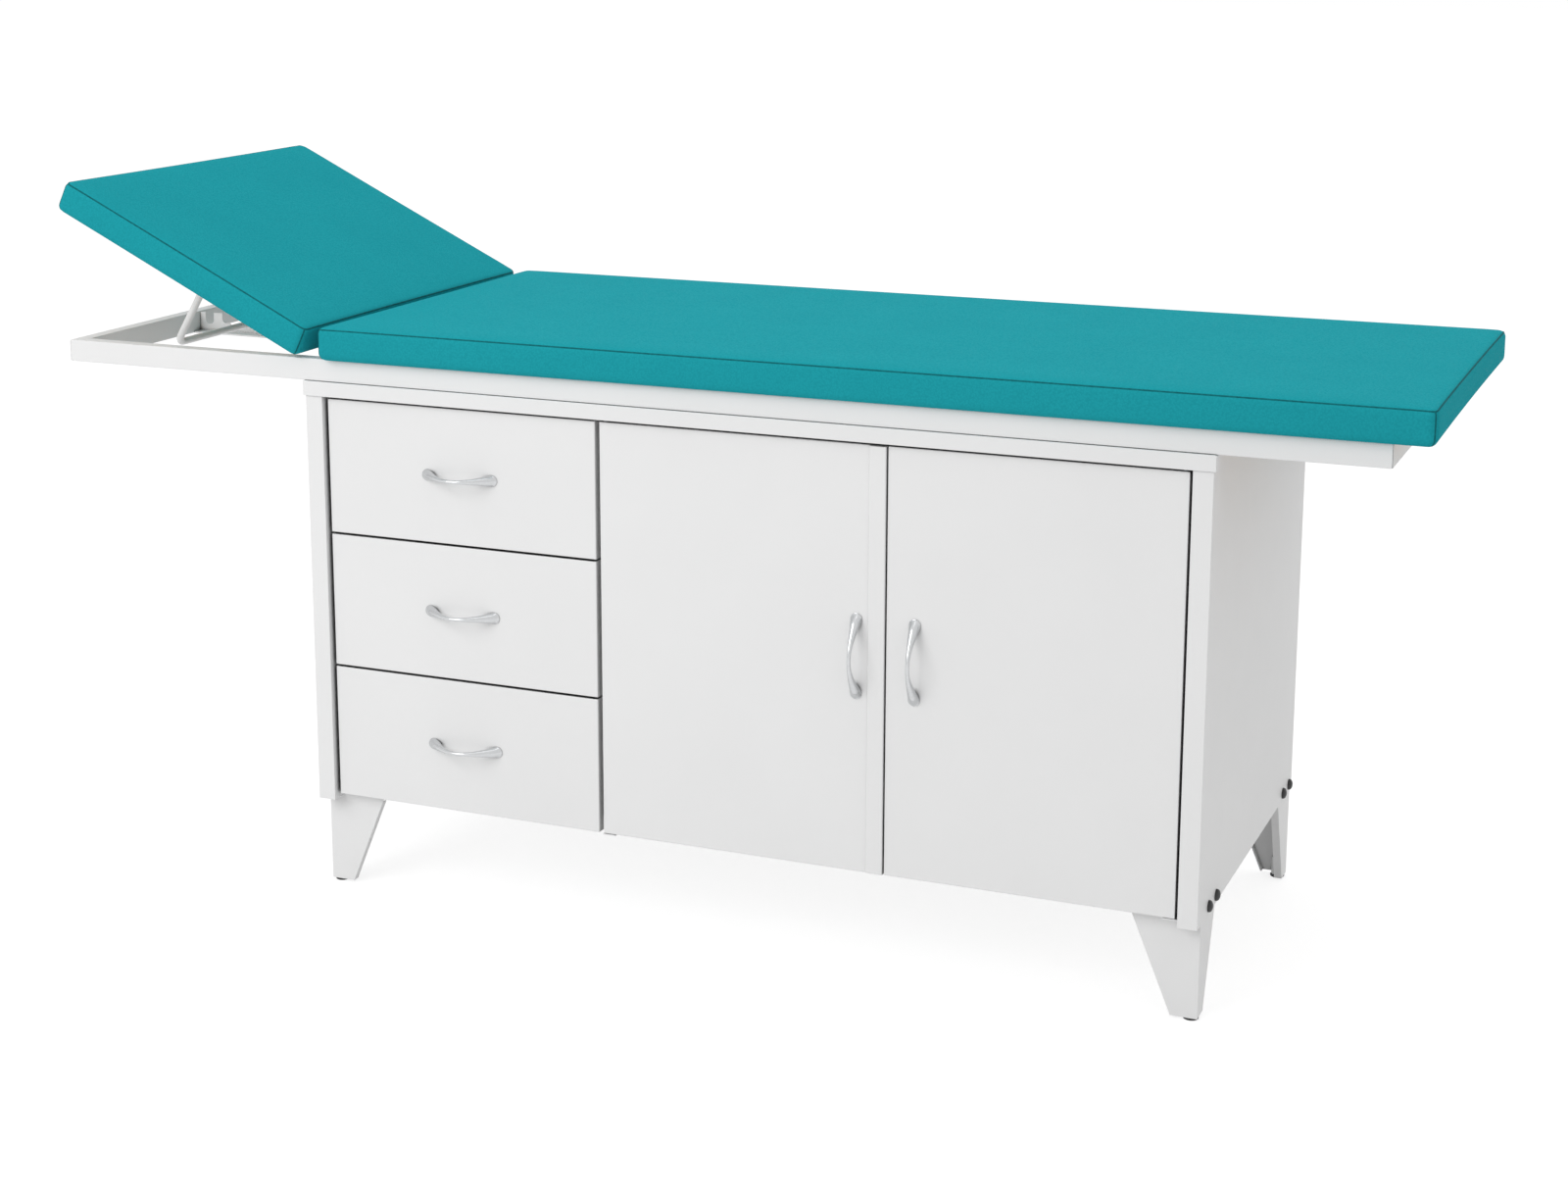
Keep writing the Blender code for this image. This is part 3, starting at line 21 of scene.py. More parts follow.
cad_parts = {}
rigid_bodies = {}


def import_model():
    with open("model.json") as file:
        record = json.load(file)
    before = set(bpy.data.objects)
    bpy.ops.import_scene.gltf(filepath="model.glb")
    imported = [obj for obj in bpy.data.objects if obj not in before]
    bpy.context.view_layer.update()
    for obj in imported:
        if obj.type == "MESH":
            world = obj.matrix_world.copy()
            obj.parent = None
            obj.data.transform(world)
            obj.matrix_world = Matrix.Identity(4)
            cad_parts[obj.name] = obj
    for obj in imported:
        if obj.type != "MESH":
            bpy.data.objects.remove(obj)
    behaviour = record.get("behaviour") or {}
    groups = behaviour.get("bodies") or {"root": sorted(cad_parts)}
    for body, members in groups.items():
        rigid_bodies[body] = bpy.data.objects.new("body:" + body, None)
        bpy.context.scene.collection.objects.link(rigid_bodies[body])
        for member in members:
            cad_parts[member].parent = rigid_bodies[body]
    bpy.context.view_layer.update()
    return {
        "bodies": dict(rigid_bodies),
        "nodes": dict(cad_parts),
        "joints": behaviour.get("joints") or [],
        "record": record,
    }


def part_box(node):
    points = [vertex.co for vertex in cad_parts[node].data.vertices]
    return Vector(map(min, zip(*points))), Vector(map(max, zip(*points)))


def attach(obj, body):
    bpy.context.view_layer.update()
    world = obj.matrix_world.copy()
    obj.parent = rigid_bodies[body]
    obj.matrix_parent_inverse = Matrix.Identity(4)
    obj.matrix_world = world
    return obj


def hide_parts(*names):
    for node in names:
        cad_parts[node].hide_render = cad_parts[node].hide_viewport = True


LOG = logging.getLogger("examination_table")

MM = 0.001
SEAT = 0.3 * MM  # left between pieces that sit on each other
NEAR = 0.01 * MM  # closer points count as one
POLE_NEAR = 0.001 * MM  # the same at the poles of turned bodies
SHEET = 1.5 * MM
DRAWER_WALL = 1.2 * MM
CUSHION_CROWN = 3.0 * MM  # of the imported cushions, above their edges
HEAD_CUSHION_FAR = -425.0 * MM  # along the head board, from its hinge
HEAD_CUSHION_NEAR = -6.0 * MM
HEAD_TILT_DEG = 25.7
BAIL_LEAN_DEG = 85.2  # from the head section down to the bail
HEAD_TILT = math.radians(HEAD_TILT_DEG)
BAIL_TURN = math.radians(HEAD_TILT_DEG - BAIL_LEAN_DEG)
SMOOTH_ANGLE = math.radians(40.0)

# Sockets of a Mix node go by number, because their names repeat.
SHARE = 0
FLOAT_A, FLOAT_B, FLOAT_OUT = 2, 3, 0
VECTOR_A, VECTOR_B, VECTOR_OUT = 4, 5, 1
COLOUR_A, COLOUR_B, COLOUR_OUT = 6, 7, 2


class Slot(str, Enum):
    """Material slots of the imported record."""

    PAINT = "white_paint"
    LEATHERETTE = "teal_leatherette"
    CHROME = "satin_chrome"
    ZINC = "zinc_steel"
    PLASTIC = "black_plastic"
    PLYWOOD = "plywood"


class Run(Enum):
    """Axis that a handle, and the brushing on it, runs along."""

    LEVEL = (1.0, 0.0, 0.0)
    UPRIGHT = (0.0, 0.0, 1.0)


def linear(hex_colour: str) -> tuple[float, float, float, float]:
    """Turn an sRGB hex colour into linear values.

    Args:
        hex_colour: Six hex digits.

    Returns:
        Linear red, green and blue, and an alpha of 1.
    """
    shades = [int(hex_colour[i:i + 2], 16) / 255 for i in (0, 2, 4)]
    red, green, blue = [v / 12.92 if v <= 0.04045 else ((v + 0.055) / 1.055) ** 2.4 for v in shades]
    return red, green, blue, 1.0


def add_node(
    tree: bpy.types.NodeTree,
    kind: str,
    settings: dict[str, Any] | None = None,
    values: dict[str | int, Any] | None = None,
    links: dict[str | int, bpy.types.NodeSocket] | None = None,
) -> bpy.types.Node:
    """Add a shader node with its settings, its socket values and its incoming links.

    Args:
        tree: Node tree that takes the node.
        kind: Type of the node.
        settings: Values of the node's own settings.
        values: Values of its inputs, by name or number.
        links: Output sockets that feed its inputs, by the inputs' name or number.

    Returns:
        The new node.
    """
    node = tree.nodes.new(kind)
    for name, value in (settings or {}).items():
        setattr(node, name, value)
    for name, value in (values or {}).items():
        node.inputs[name].default_value = value
    for name, socket in (links or {}).items():
        tree.links.new(socket, node.inputs[name])
    return node


@dataclass(frozen=True)
class Finish:
    """A surface finish, which makes its material the first time that it is asked for."""

    name: str

    def material(self) -> bpy.types.Material:
        """Return the finish's material.

        Returns:
            The material, made on the first call.
        """
        made = bpy.data.materials.get(self.name)
        if made is None:
            made = bpy.data.materials.new(self.name)
            made.use_nodes = True
            tree = made.node_tree
            place = add_node(tree, "ShaderNodeTexCoord").outputs["Object"]
            self.dress(tree, tree.nodes["Principled BSDF"], place)
        return made

    def dress(self, tree: bpy.types.NodeTree, shader: bpy.types.Node, place: bpy.types.NodeSocket) -> None:
        """Lay the finish's patterns on a shader; each finish has its own."""
        raise NotImplementedError


@dataclass(frozen=True)
class PowderCoat(Finish):
    """White powder coat on sheet steel, sprayed and baked: an even satin white with a faint orange peel.

    Narrow joints between the panels get painted shade: the colour darkens where other faces stand close, as
    ambient occlusion finds them.
    """

    colour: str = "EAEAEA"
    shade: str = "E5E5E5"
    # Dark tone, reach and ambient-occlusion limits of the painted shade in narrow joints.
    painted_shade_tone: str = "2A2A2B"
    painted_shade_reach_mm: float = 9.0
    painted_shade_full_ao: float = 0.25
    painted_shade_none_ao: float = 0.65
    cloud_mm: float = 160.0
    peel_mm: float = 3.5
    flow_mm: float = 28.0

    def dress(self, tree: bpy.types.NodeTree, shader: bpy.types.Node, place: bpy.types.NodeSocket) -> None:
        """Lay the coat's clouds, painted shade in narrow joints, gloss changes and orange peel on a shader.

        Args:
            tree: Material's node tree.
            shader: Its Principled BSDF.
            place: Object coordinates.
        """
        cloud = add_node(tree, "ShaderNodeTexNoise",
                         values={"Scale": 1 / (self.cloud_mm * MM), "Detail": 3.0},
                         links={"Vector": place})
        tone = add_node(tree, "ShaderNodeMix", {"data_type": "RGBA"},
                        {COLOUR_A: linear(self.colour), COLOUR_B: linear(self.shade)},
                        {SHARE: cloud.outputs["Fac"]})
        # Painted shade: an ambient-occlusion mask pulls the colour towards a dark tone in narrow gaps between
        # parts.
        joint = add_node(tree, "ShaderNodeAmbientOcclusion", {"samples": 6}, {"Distance": self.painted_shade_reach_mm * MM})
        clear = add_node(tree, "ShaderNodeMapRange",
                         values={"From Min": self.painted_shade_full_ao, "From Max": self.painted_shade_none_ao},
                         links={"Value": joint.outputs["AO"]})
        coat = add_node(tree, "ShaderNodeMix", {"data_type": "RGBA"}, {COLOUR_A: linear(self.painted_shade_tone)},
                        {SHARE: clear.outputs["Result"], COLOUR_B: tone.outputs[COLOUR_OUT]})
        flow = add_node(tree, "ShaderNodeTexNoise",
                        values={"Scale": 1 / (self.flow_mm * MM), "Detail": 2.0},
                        links={"Vector": place})
        gloss = add_node(tree, "ShaderNodeMapRange", values={"To Min": 0.36, "To Max": 0.46},
                         links={"Value": flow.outputs["Fac"]})
        # The real peel is about 1 mm across; it is drawn coarser so that it shows at this distance.
        peel = add_node(tree, "ShaderNodeTexNoise",
                        values={"Scale": 1 / (self.peel_mm * MM), "Detail": 2.0},
                        links={"Vector": place})
        bump = add_node(tree, "ShaderNodeBump", values={"Strength": 0.05, "Distance": 0.3 * MM},
                        links={"Height": peel.outputs["Fac"]})
        tree.links.new(coat.outputs[COLOUR_OUT], shader.inputs["Base Color"])
        tree.links.new(gloss.outputs["Result"], shader.inputs["Roughness"])
        tree.links.new(bump.outputs["Normal"], shader.inputs["Normal"])
        shader.inputs["IOR"].default_value = 1.5


@dataclass(frozen=True)
class Leatherette(Finish):
    """Embossed vinyl upholstery: a pebble grain with darker valleys, a faint sheen and an uneven lay."""

    colour: str = "22A0AA"
    valley: str = "1A8A94"
    shade: str = "1E97A2"
    valley_share: float = 0.55
    grain_mm: float = 2.4
    wander_grains: float = 3.0
    wander_share: float = 0.0025
    cloud_mm: float = 90.0
    lay_mm: float = 55.0

    def dress(self, tree: bpy.types.NodeTree, shader: bpy.types.Node, place: bpy.types.NodeSocket) -> None:
        """Lay the pebble grain, the clouds and the uneven lay on a shader.

        Args:
            tree: Material's node tree.
            shader: Its Principled BSDF.
            place: Object coordinates.
        """
        wander = add_node(tree, "ShaderNodeTexNoise",
                          values={"Scale": 1 / (self.grain_mm * self.wander_grains * MM), "Detail": 1.0},
                          links={"Vector": place})
        bent = add_node(tree, "ShaderNodeMix", {"data_type": "VECTOR"}, {SHARE: self.wander_share},
                        {VECTOR_A: place, VECTOR_B: wander.outputs["Color"]})
        # The real pebble is about 1.2 mm across; it is drawn coarser so that it shows at this distance.
        pebble = add_node(tree, "ShaderNodeTexVoronoi", {"feature": "SMOOTH_F1"},
                          {"Scale": 1 / (self.grain_mm * MM), "Smoothness": 0.35},
                          {"Vector": bent.outputs[VECTOR_OUT]})
        depth = add_node(tree, "ShaderNodeMapRange", values={"From Min": 0.15, "From Max": 0.75},
                         links={"Value": pebble.outputs["Distance"]})
        cloud = add_node(tree, "ShaderNodeTexNoise",
                         values={"Scale": 1 / (self.cloud_mm * MM), "Detail": 4.0},
                         links={"Vector": place})
        tone = add_node(tree, "ShaderNodeMix", {"data_type": "RGBA"},
                        {COLOUR_A: linear(self.colour), COLOUR_B: linear(self.shade)},
                        {SHARE: cloud.outputs["Fac"]})
        share = add_node(tree, "ShaderNodeMath", {"operation": "MULTIPLY"}, {1: self.valley_share},
                         {0: depth.outputs["Result"]})
        grain = add_node(tree, "ShaderNodeMix", {"data_type": "RGBA"}, {COLOUR_B: linear(self.valley)},
                         {SHARE: share.outputs[0], COLOUR_A: tone.outputs[COLOUR_OUT]})
        gloss = add_node(tree, "ShaderNodeMapRange", values={"To Min": 0.58, "To Max": 0.74},
                         links={"Value": depth.outputs["Result"]})
        lay = add_node(tree, "ShaderNodeTexNoise",
                       values={"Scale": 1 / (self.lay_mm * MM), "Detail": 2.0},
                       links={"Vector": place})
        slack = add_node(tree, "ShaderNodeBump", values={"Strength": 0.10, "Distance": 2.0 * MM},
                         links={"Height": lay.outputs["Fac"]})
        emboss = add_node(tree, "ShaderNodeBump", {"invert": True}, {"Strength": 0.22, "Distance": 0.35 * MM},
                          {"Height": depth.outputs["Result"], "Normal": slack.outputs["Normal"]})
        tree.links.new(grain.outputs[COLOUR_OUT], shader.inputs["Base Color"])
        tree.links.new(gloss.outputs["Result"], shader.inputs["Roughness"])
        tree.links.new(emboss.outputs["Normal"], shader.inputs["Normal"])
        shader.inputs["IOR"].default_value = 1.48
        shader.inputs["Specular IOR Level"].default_value = 0.01
        shader.inputs["Sheen Weight"].default_value = 0.3
        shader.inputs["Sheen Roughness"].default_value = 0.45
        shader.inputs["Sheen Tint"].default_value = linear(self.colour)


@dataclass(frozen=True)
class SeamWelt(Finish):
    """Folded vinyl edge held by thread: darker than the panels, with a fine pull at each stitch."""

    colour: str = "167277"
    shade: str = "105A5F"
    stitch_mm: float = 4.0

    def dress(self, tree: bpy.types.NodeTree, shader: bpy.types.Node, place: bpy.types.NodeSocket) -> None:
        """Lay the stitches on a shader.

        Args:
            tree: Material's node tree.
            shader: Its Principled BSDF.
            place: Object coordinates.
        """
        stitch = add_node(tree, "ShaderNodeTexVoronoi", values={"Scale": 1 / (self.stitch_mm * MM)},
                          links={"Vector": place})
        tone = add_node(tree, "ShaderNodeMix", {"data_type": "RGBA"},
                        {COLOUR_A: linear(self.colour), COLOUR_B: linear(self.shade)},
                        {SHARE: stitch.outputs["Distance"]})
        bump = add_node(tree, "ShaderNodeBump", values={"Strength": 0.3, "Distance": 0.4 * MM},
                        links={"Height": stitch.outputs["Distance"]})
        tree.links.new(tone.outputs[COLOUR_OUT], shader.inputs["Base Color"])
        tree.links.new(bump.outputs["Normal"], shader.inputs["Normal"])
        shader.inputs["Roughness"].default_value = 0.7
        shader.inputs["Specular IOR Level"].default_value = 0.04


@dataclass(frozen=True)
class SatinChrome(Finish):
    """Die-cast zinc with satin chrome: bright metal, blurred along fine brushing that follows the bow."""

    run: Run = Run.LEVEL
    colour: str = "D6D7D8"
    shade: str = "BFC1C3"
    brush_mm: float = 0.9
    stretch: float = 0.06

    def dress(self, tree: bpy.types.NodeTree, shader: bpy.types.Node, place: bpy.types.NodeSocket) -> None:
        """Lay the brushing on a shader.

        Args:
            tree: Material's node tree.
            shader: Its Principled BSDF.
            place: Object coordinates.
        """
        scale = tuple(self.stretch if along else 1.0 for along in self.run.value)
        drawn = add_node(tree, "ShaderNodeMapping", values={"Scale": scale}, links={"Vector": place})
        brush = add_node(tree, "ShaderNodeTexNoise",
                         values={"Scale": 1 / (self.brush_mm * MM), "Detail": 3.0},
                         links={"Vector": drawn.outputs["Vector"]})
        tone = add_node(tree, "ShaderNodeMix", {"data_type": "RGBA"},
                        {COLOUR_A: linear(self.colour), COLOUR_B: linear(self.shade)},
                        {SHARE: brush.outputs["Fac"]})
        gloss = add_node(tree, "ShaderNodeMapRange", values={"To Min": 0.16, "To Max": 0.30},
                         links={"Value": brush.outputs["Fac"]})
        bump = add_node(tree, "ShaderNodeBump", values={"Strength": 0.08, "Distance": 0.1 * MM},
                        links={"Height": brush.outputs["Fac"]})
        tree.links.new(tone.outputs[COLOUR_OUT], shader.inputs["Base Color"])
        tree.links.new(gloss.outputs["Result"], shader.inputs["Roughness"])
        tree.links.new(bump.outputs["Normal"], shader.inputs["Normal"])
        shader.inputs["Metallic"].default_value = 1.0


@dataclass(frozen=True)
class ZincPlate(Finish):
    """Zinc-plated steel fittings: a dull blue-grey metal with faint spangles and uneven passivation."""

    colour: str = "B4B8BB"
    shade: str = "96999C"
    spangle_mm: float = 7.0
    bloom_mm: float = 35.0
    bloom_share: float = 0.6

    def dress(self, tree: bpy.types.NodeTree, shader: bpy.types.Node, place: bpy.types.NodeSocket) -> None:
        """Lay the spangles and the passivation on a shader.

        Args:
            tree: Material's node tree.
            shader: Its Principled BSDF.
            place: Object coordinates.
        """
        spangle = add_node(tree, "ShaderNodeTexVoronoi", values={"Scale": 1 / (self.spangle_mm * MM)},
                           links={"Vector": place})
        bloom = add_node(tree, "ShaderNodeTexNoise",
                         values={"Scale": 1 / (self.bloom_mm * MM), "Detail": 4.0},
                         links={"Vector": place})
        blend = add_node(tree, "ShaderNodeMix", values={SHARE: self.bloom_share},
                         links={FLOAT_A: spangle.outputs["Distance"], FLOAT_B: bloom.outputs["Fac"]})
        tone = add_node(tree, "ShaderNodeMix", {"data_type": "RGBA"},
                        {COLOUR_A: linear(self.colour), COLOUR_B: linear(self.shade)},
                        {SHARE: blend.outputs[FLOAT_OUT]})
        gloss = add_node(tree, "ShaderNodeMapRange", values={"To Min": 0.32, "To Max": 0.52},
                         links={"Value": bloom.outputs["Fac"]})
        tree.links.new(tone.outputs[COLOUR_OUT], shader.inputs["Base Color"])
        tree.links.new(gloss.outputs["Result"], shader.inputs["Roughness"])
        shader.inputs["Metallic"].default_value = 1.0


@dataclass(frozen=True)
class MouldedPlastic(Finish):
    """Black polyamide, moulded in a spark-eroded tool: nearly black with a fine matt grit."""

    colour: str = "1A1A1B"
    shade: str = "262627"
    grit_mm: float = 1.6

    def dress(self, tree: bpy.types.NodeTree, shader: bpy.types.Node, place: bpy.types.NodeSocket) -> None:
        """Lay the moulded grit on a shader.

        Args:
            tree: Material's node tree.
            shader: Its Principled BSDF.
            place: Object coordinates.
        """
        # The real grit is about 0.1 mm; it is drawn coarser so that it shows in a close view.
        grit = add_node(tree, "ShaderNodeTexNoise",
                        values={"Scale": 1 / (self.grit_mm * MM), "Detail": 4.0},
                        links={"Vector": place})
        tone = add_node(tree, "ShaderNodeMix", {"data_type": "RGBA"},
                        {COLOUR_A: linear(self.colour), COLOUR_B: linear(self.shade)},
                        {SHARE: grit.outputs["Fac"]})
        gloss = add_node(tree, "ShaderNodeMapRange", values={"To Min": 0.38, "To Max": 0.58},
                         links={"Value": grit.outputs["Fac"]})
        bump = add_node(tree, "ShaderNodeBump", values={"Strength": 0.15, "Distance": 0.1 * MM},
                        links={"Height": grit.outputs["Fac"]})
        tree.links.new(tone.outputs[COLOUR_OUT], shader.inputs["Base Color"])
        tree.links.new(gloss.outputs["Result"], shader.inputs["Roughness"])
        tree.links.new(bump.outputs["Normal"], shader.inputs["Normal"])
        shader.inputs["IOR"].default_value = 1.53


@dataclass(frozen=True)
class Plywood(Finish):
    """Uncoated birch plywood: pale rotary-cut figure on the faces and thin dark glue lines on the edges."""

    tilt: float = 0.0
    colour: str = "C9A574"
    grain: str = "AF8551"
    glue: str = "8A6238"
    figure_mm: float = 26.0
    figure_stretch: float = 0.08
    ply_mm: float = 2.0

    def dress(self, tree: bpy.types.NodeTree, shader: bpy.types.Node, place: bpy.types.NodeSocket) -> None:
        """Lay the figure and the plies on a shader.

        Args:
            tree: Material's node tree.
            shader: Its Principled BSDF.
            place: Object coordinates.
        """
        level = add_node(tree, "ShaderNodeMapping", values={"Rotation": (0.0, -self.tilt, 0.0)},
                         links={"Vector": place})
        drawn = add_node(tree, "ShaderNodeMapping", values={"Scale": (self.figure_stretch, 1.0, 1.0)},
                         links={"Vector": level.outputs["Vector"]})
        figure = add_node(tree, "ShaderNodeTexNoise",
                          values={"Scale": 1 / (self.figure_mm * MM), "Detail": 6.0, "Distortion": 0.6},
                          links={"Vector": drawn.outputs["Vector"]})
        face = add_node(tree, "ShaderNodeMix", {"data_type": "RGBA"},
                        {COLOUR_A: linear(self.colour), COLOUR_B: linear(self.grain)},
                        {SHARE: figure.outputs["Fac"]})
        # A Wave texture draws 20 bands over a length of tau at a scale of 1.
        plies = add_node(tree, "ShaderNodeTexWave", {"bands_direction": "Z"},
                         {"Scale": math.tau / (20 * self.ply_mm * MM), "Distortion": 0.0},
                         {"Vector": level.outputs["Vector"]})
        line = add_node(tree, "ShaderNodeMapRange", values={"From Min": 0.85, "From Max": 1.0, "To Max": 0.6},
                        links={"Value": plies.outputs["Fac"]})
        tone = add_node(tree, "ShaderNodeMix", {"data_type": "RGBA"}, {COLOUR_B: linear(self.glue)},
                        {SHARE: line.outputs["Result"], COLOUR_A: face.outputs[COLOUR_OUT]})
        bump = add_node(tree, "ShaderNodeBump", values={"Strength": 0.12, "Distance": 0.3 * MM},
                        links={"Height": figure.outputs["Fac"]})
        tree.links.new(tone.outputs[COLOUR_OUT], shader.inputs["Base Color"])
        tree.links.new(bump.outputs["Normal"], shader.inputs["Normal"])
        shader.inputs["Roughness"].default_value = 0.68


PAINT = PowderCoat("white_powder_coat")
LEATHERETTE = Leatherette("teal_leatherette_vinyl")
WELT = SeamWelt("teal_seam_welt")
CHROME_LEVEL = SatinChrome("satin_chrome_level", Run.LEVEL)
CHROME_UPRIGHT = SatinChrome("satin_chrome_upright", Run.UPRIGHT)
ZINC = ZincPlate("zinc_plated_steel")
PLASTIC = MouldedPlastic("black_moulded_plastic")
BOARD = Plywood("birch_plywood")
HEAD_BOARD = Plywood("birch_plywood_tilted", HEAD_TILT)


def bevel(bm: bmesh.types.BMesh, edges: Sequence[bmesh.types.BMEdge], width: float, segments: int) -> None:
    """Round some edges of a mesh.

    Args:
        bm: Mesh that is shaped.
        edges: Edges to round.
        width: Width of the rounding.
        segments: Steps across it.
    """
    bmesh.ops.bevel(bm, geom=list(edges), offset=width, offset_type="OFFSET", segments=segments, profile=0.5,
                    affect="EDGES", material=-1)


def block(low: Vector, high: Vector) -> bmesh.types.BMesh:
    """Make a box between two corners.

    Args:
        low: Lowest corner.
        high: Highest corner.

    Returns:
        The box.
    """
    bm = bmesh.new()
    bmesh.ops.create_cube(bm, size=1.0)
    bmesh.ops.scale(bm, vec=high - low, verts=bm.verts)
    bmesh.ops.translate(bm, vec=(high + low) / 2, verts=bm.verts)
    return bm


def turned(profile: Sequence[tuple[float, float]], place: Matrix, steps: int = 48) -> bmesh.types.BMesh:
    """Spin a profile into a closed round body.

    Args:
        profile: Radii and heights from one pole to the other.
        place: Where the body's own Z axis and origin go.
        steps: Steps round the body.

    Returns:
        The body.
    """
    bm = bmesh.new()
    verts = [bm.verts.new((radius, 0.0, height)) for radius, height in profile]
    edges = [bm.edges.new(pair) for pair in zip(verts, verts[1:])]
    bmesh.ops.spin(bm, geom=verts + edges, cent=(0, 0, 0), axis=(0, 0, 1), angle=math.tau, steps=steps,
                   use_merge=True)
    bmesh.ops.remove_doubles(bm, verts=bm.verts, dist=POLE_NEAR)
    bmesh.ops.recalc_face_normals(bm, faces=bm.faces)
    bmesh.ops.transform(bm, matrix=place, verts=bm.verts)
    return bm


def lofted(stations: Sequence[Matrix], sides: int) -> bmesh.types.BMesh:
    """Draw a unit circle through a row of stations into a closed body.

    Args:
        stations: Where each circle goes, with its radius as scale.
        sides: Corners of the circle.

    Returns:
        The body.
    """
    bm = bmesh.new()
    bmesh.ops.create_circle(bm, cap_ends=False, radius=1.0, segments=sides)
    bmesh.ops.transform(bm, matrix=stations[0], verts=bm.verts)
    ring = list(bm.edges)
    for here, there in zip(stations, stations[1:]):
        grown = bmesh.ops.extrude_edge_only(bm, edges=ring)["geom"]
        verts = [item for item in grown if isinstance(item, bmesh.types.BMVert)]
        ring = [item for item in grown
                if isinstance(item, bmesh.types.BMEdge) and set(item.verts) <= set(verts)]
        bmesh.ops.transform(bm, matrix=there @ here.inverted(), verts=verts)
    bmesh.ops.holes_fill(bm, edges=[edge for edge in bm.edges if edge.is_boundary], sides=0)
    bmesh.ops.recalc_face_normals(bm, faces=bm.faces)
    return bm


def station(centre: Vector, across: Vector, upward: Vector, radius: float) -> Matrix:
    """Place a unit circle square to a path.

    Args:
        centre: Centre of the circle.
        across: First direction in its plane.
        upward: Second direction in its plane.
        radius: Radius of the circle.

    Returns:
        The placing matrix.
    """
    along = across.cross(upward)
    turn = Matrix((across, upward, along)).transposed().to_4x4()
    return Matrix.Translation(centre) @ turn @ Matrix.Scale(radius, 4)


def put(
    name: str,
    bm: bmesh.types.BMesh,
    finish: Finish,
    body: str,
    slot: Slot,
    *nodes: str,
) -> bpy.types.Object:
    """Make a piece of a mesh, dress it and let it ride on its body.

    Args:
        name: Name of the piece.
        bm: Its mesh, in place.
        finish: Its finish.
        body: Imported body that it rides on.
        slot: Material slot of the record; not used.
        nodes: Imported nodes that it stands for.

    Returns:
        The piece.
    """
    mesh = bpy.data.meshes.new(name)
    bm.to_mesh(mesh)
    bm.free()
    mesh.shade_smooth()
    mesh.set_sharp_from_angle(angle=SMOOTH_ANGLE)
    mesh.materials.append(finish.material())
    piece = bpy.data.objects.new(name, mesh)
    bpy.context.scene.collection.objects.link(piece)
    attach(piece, body)
    if nodes:
        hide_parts(*nodes)
    LOG.info("%s rides on %s", name, body)
    return piece


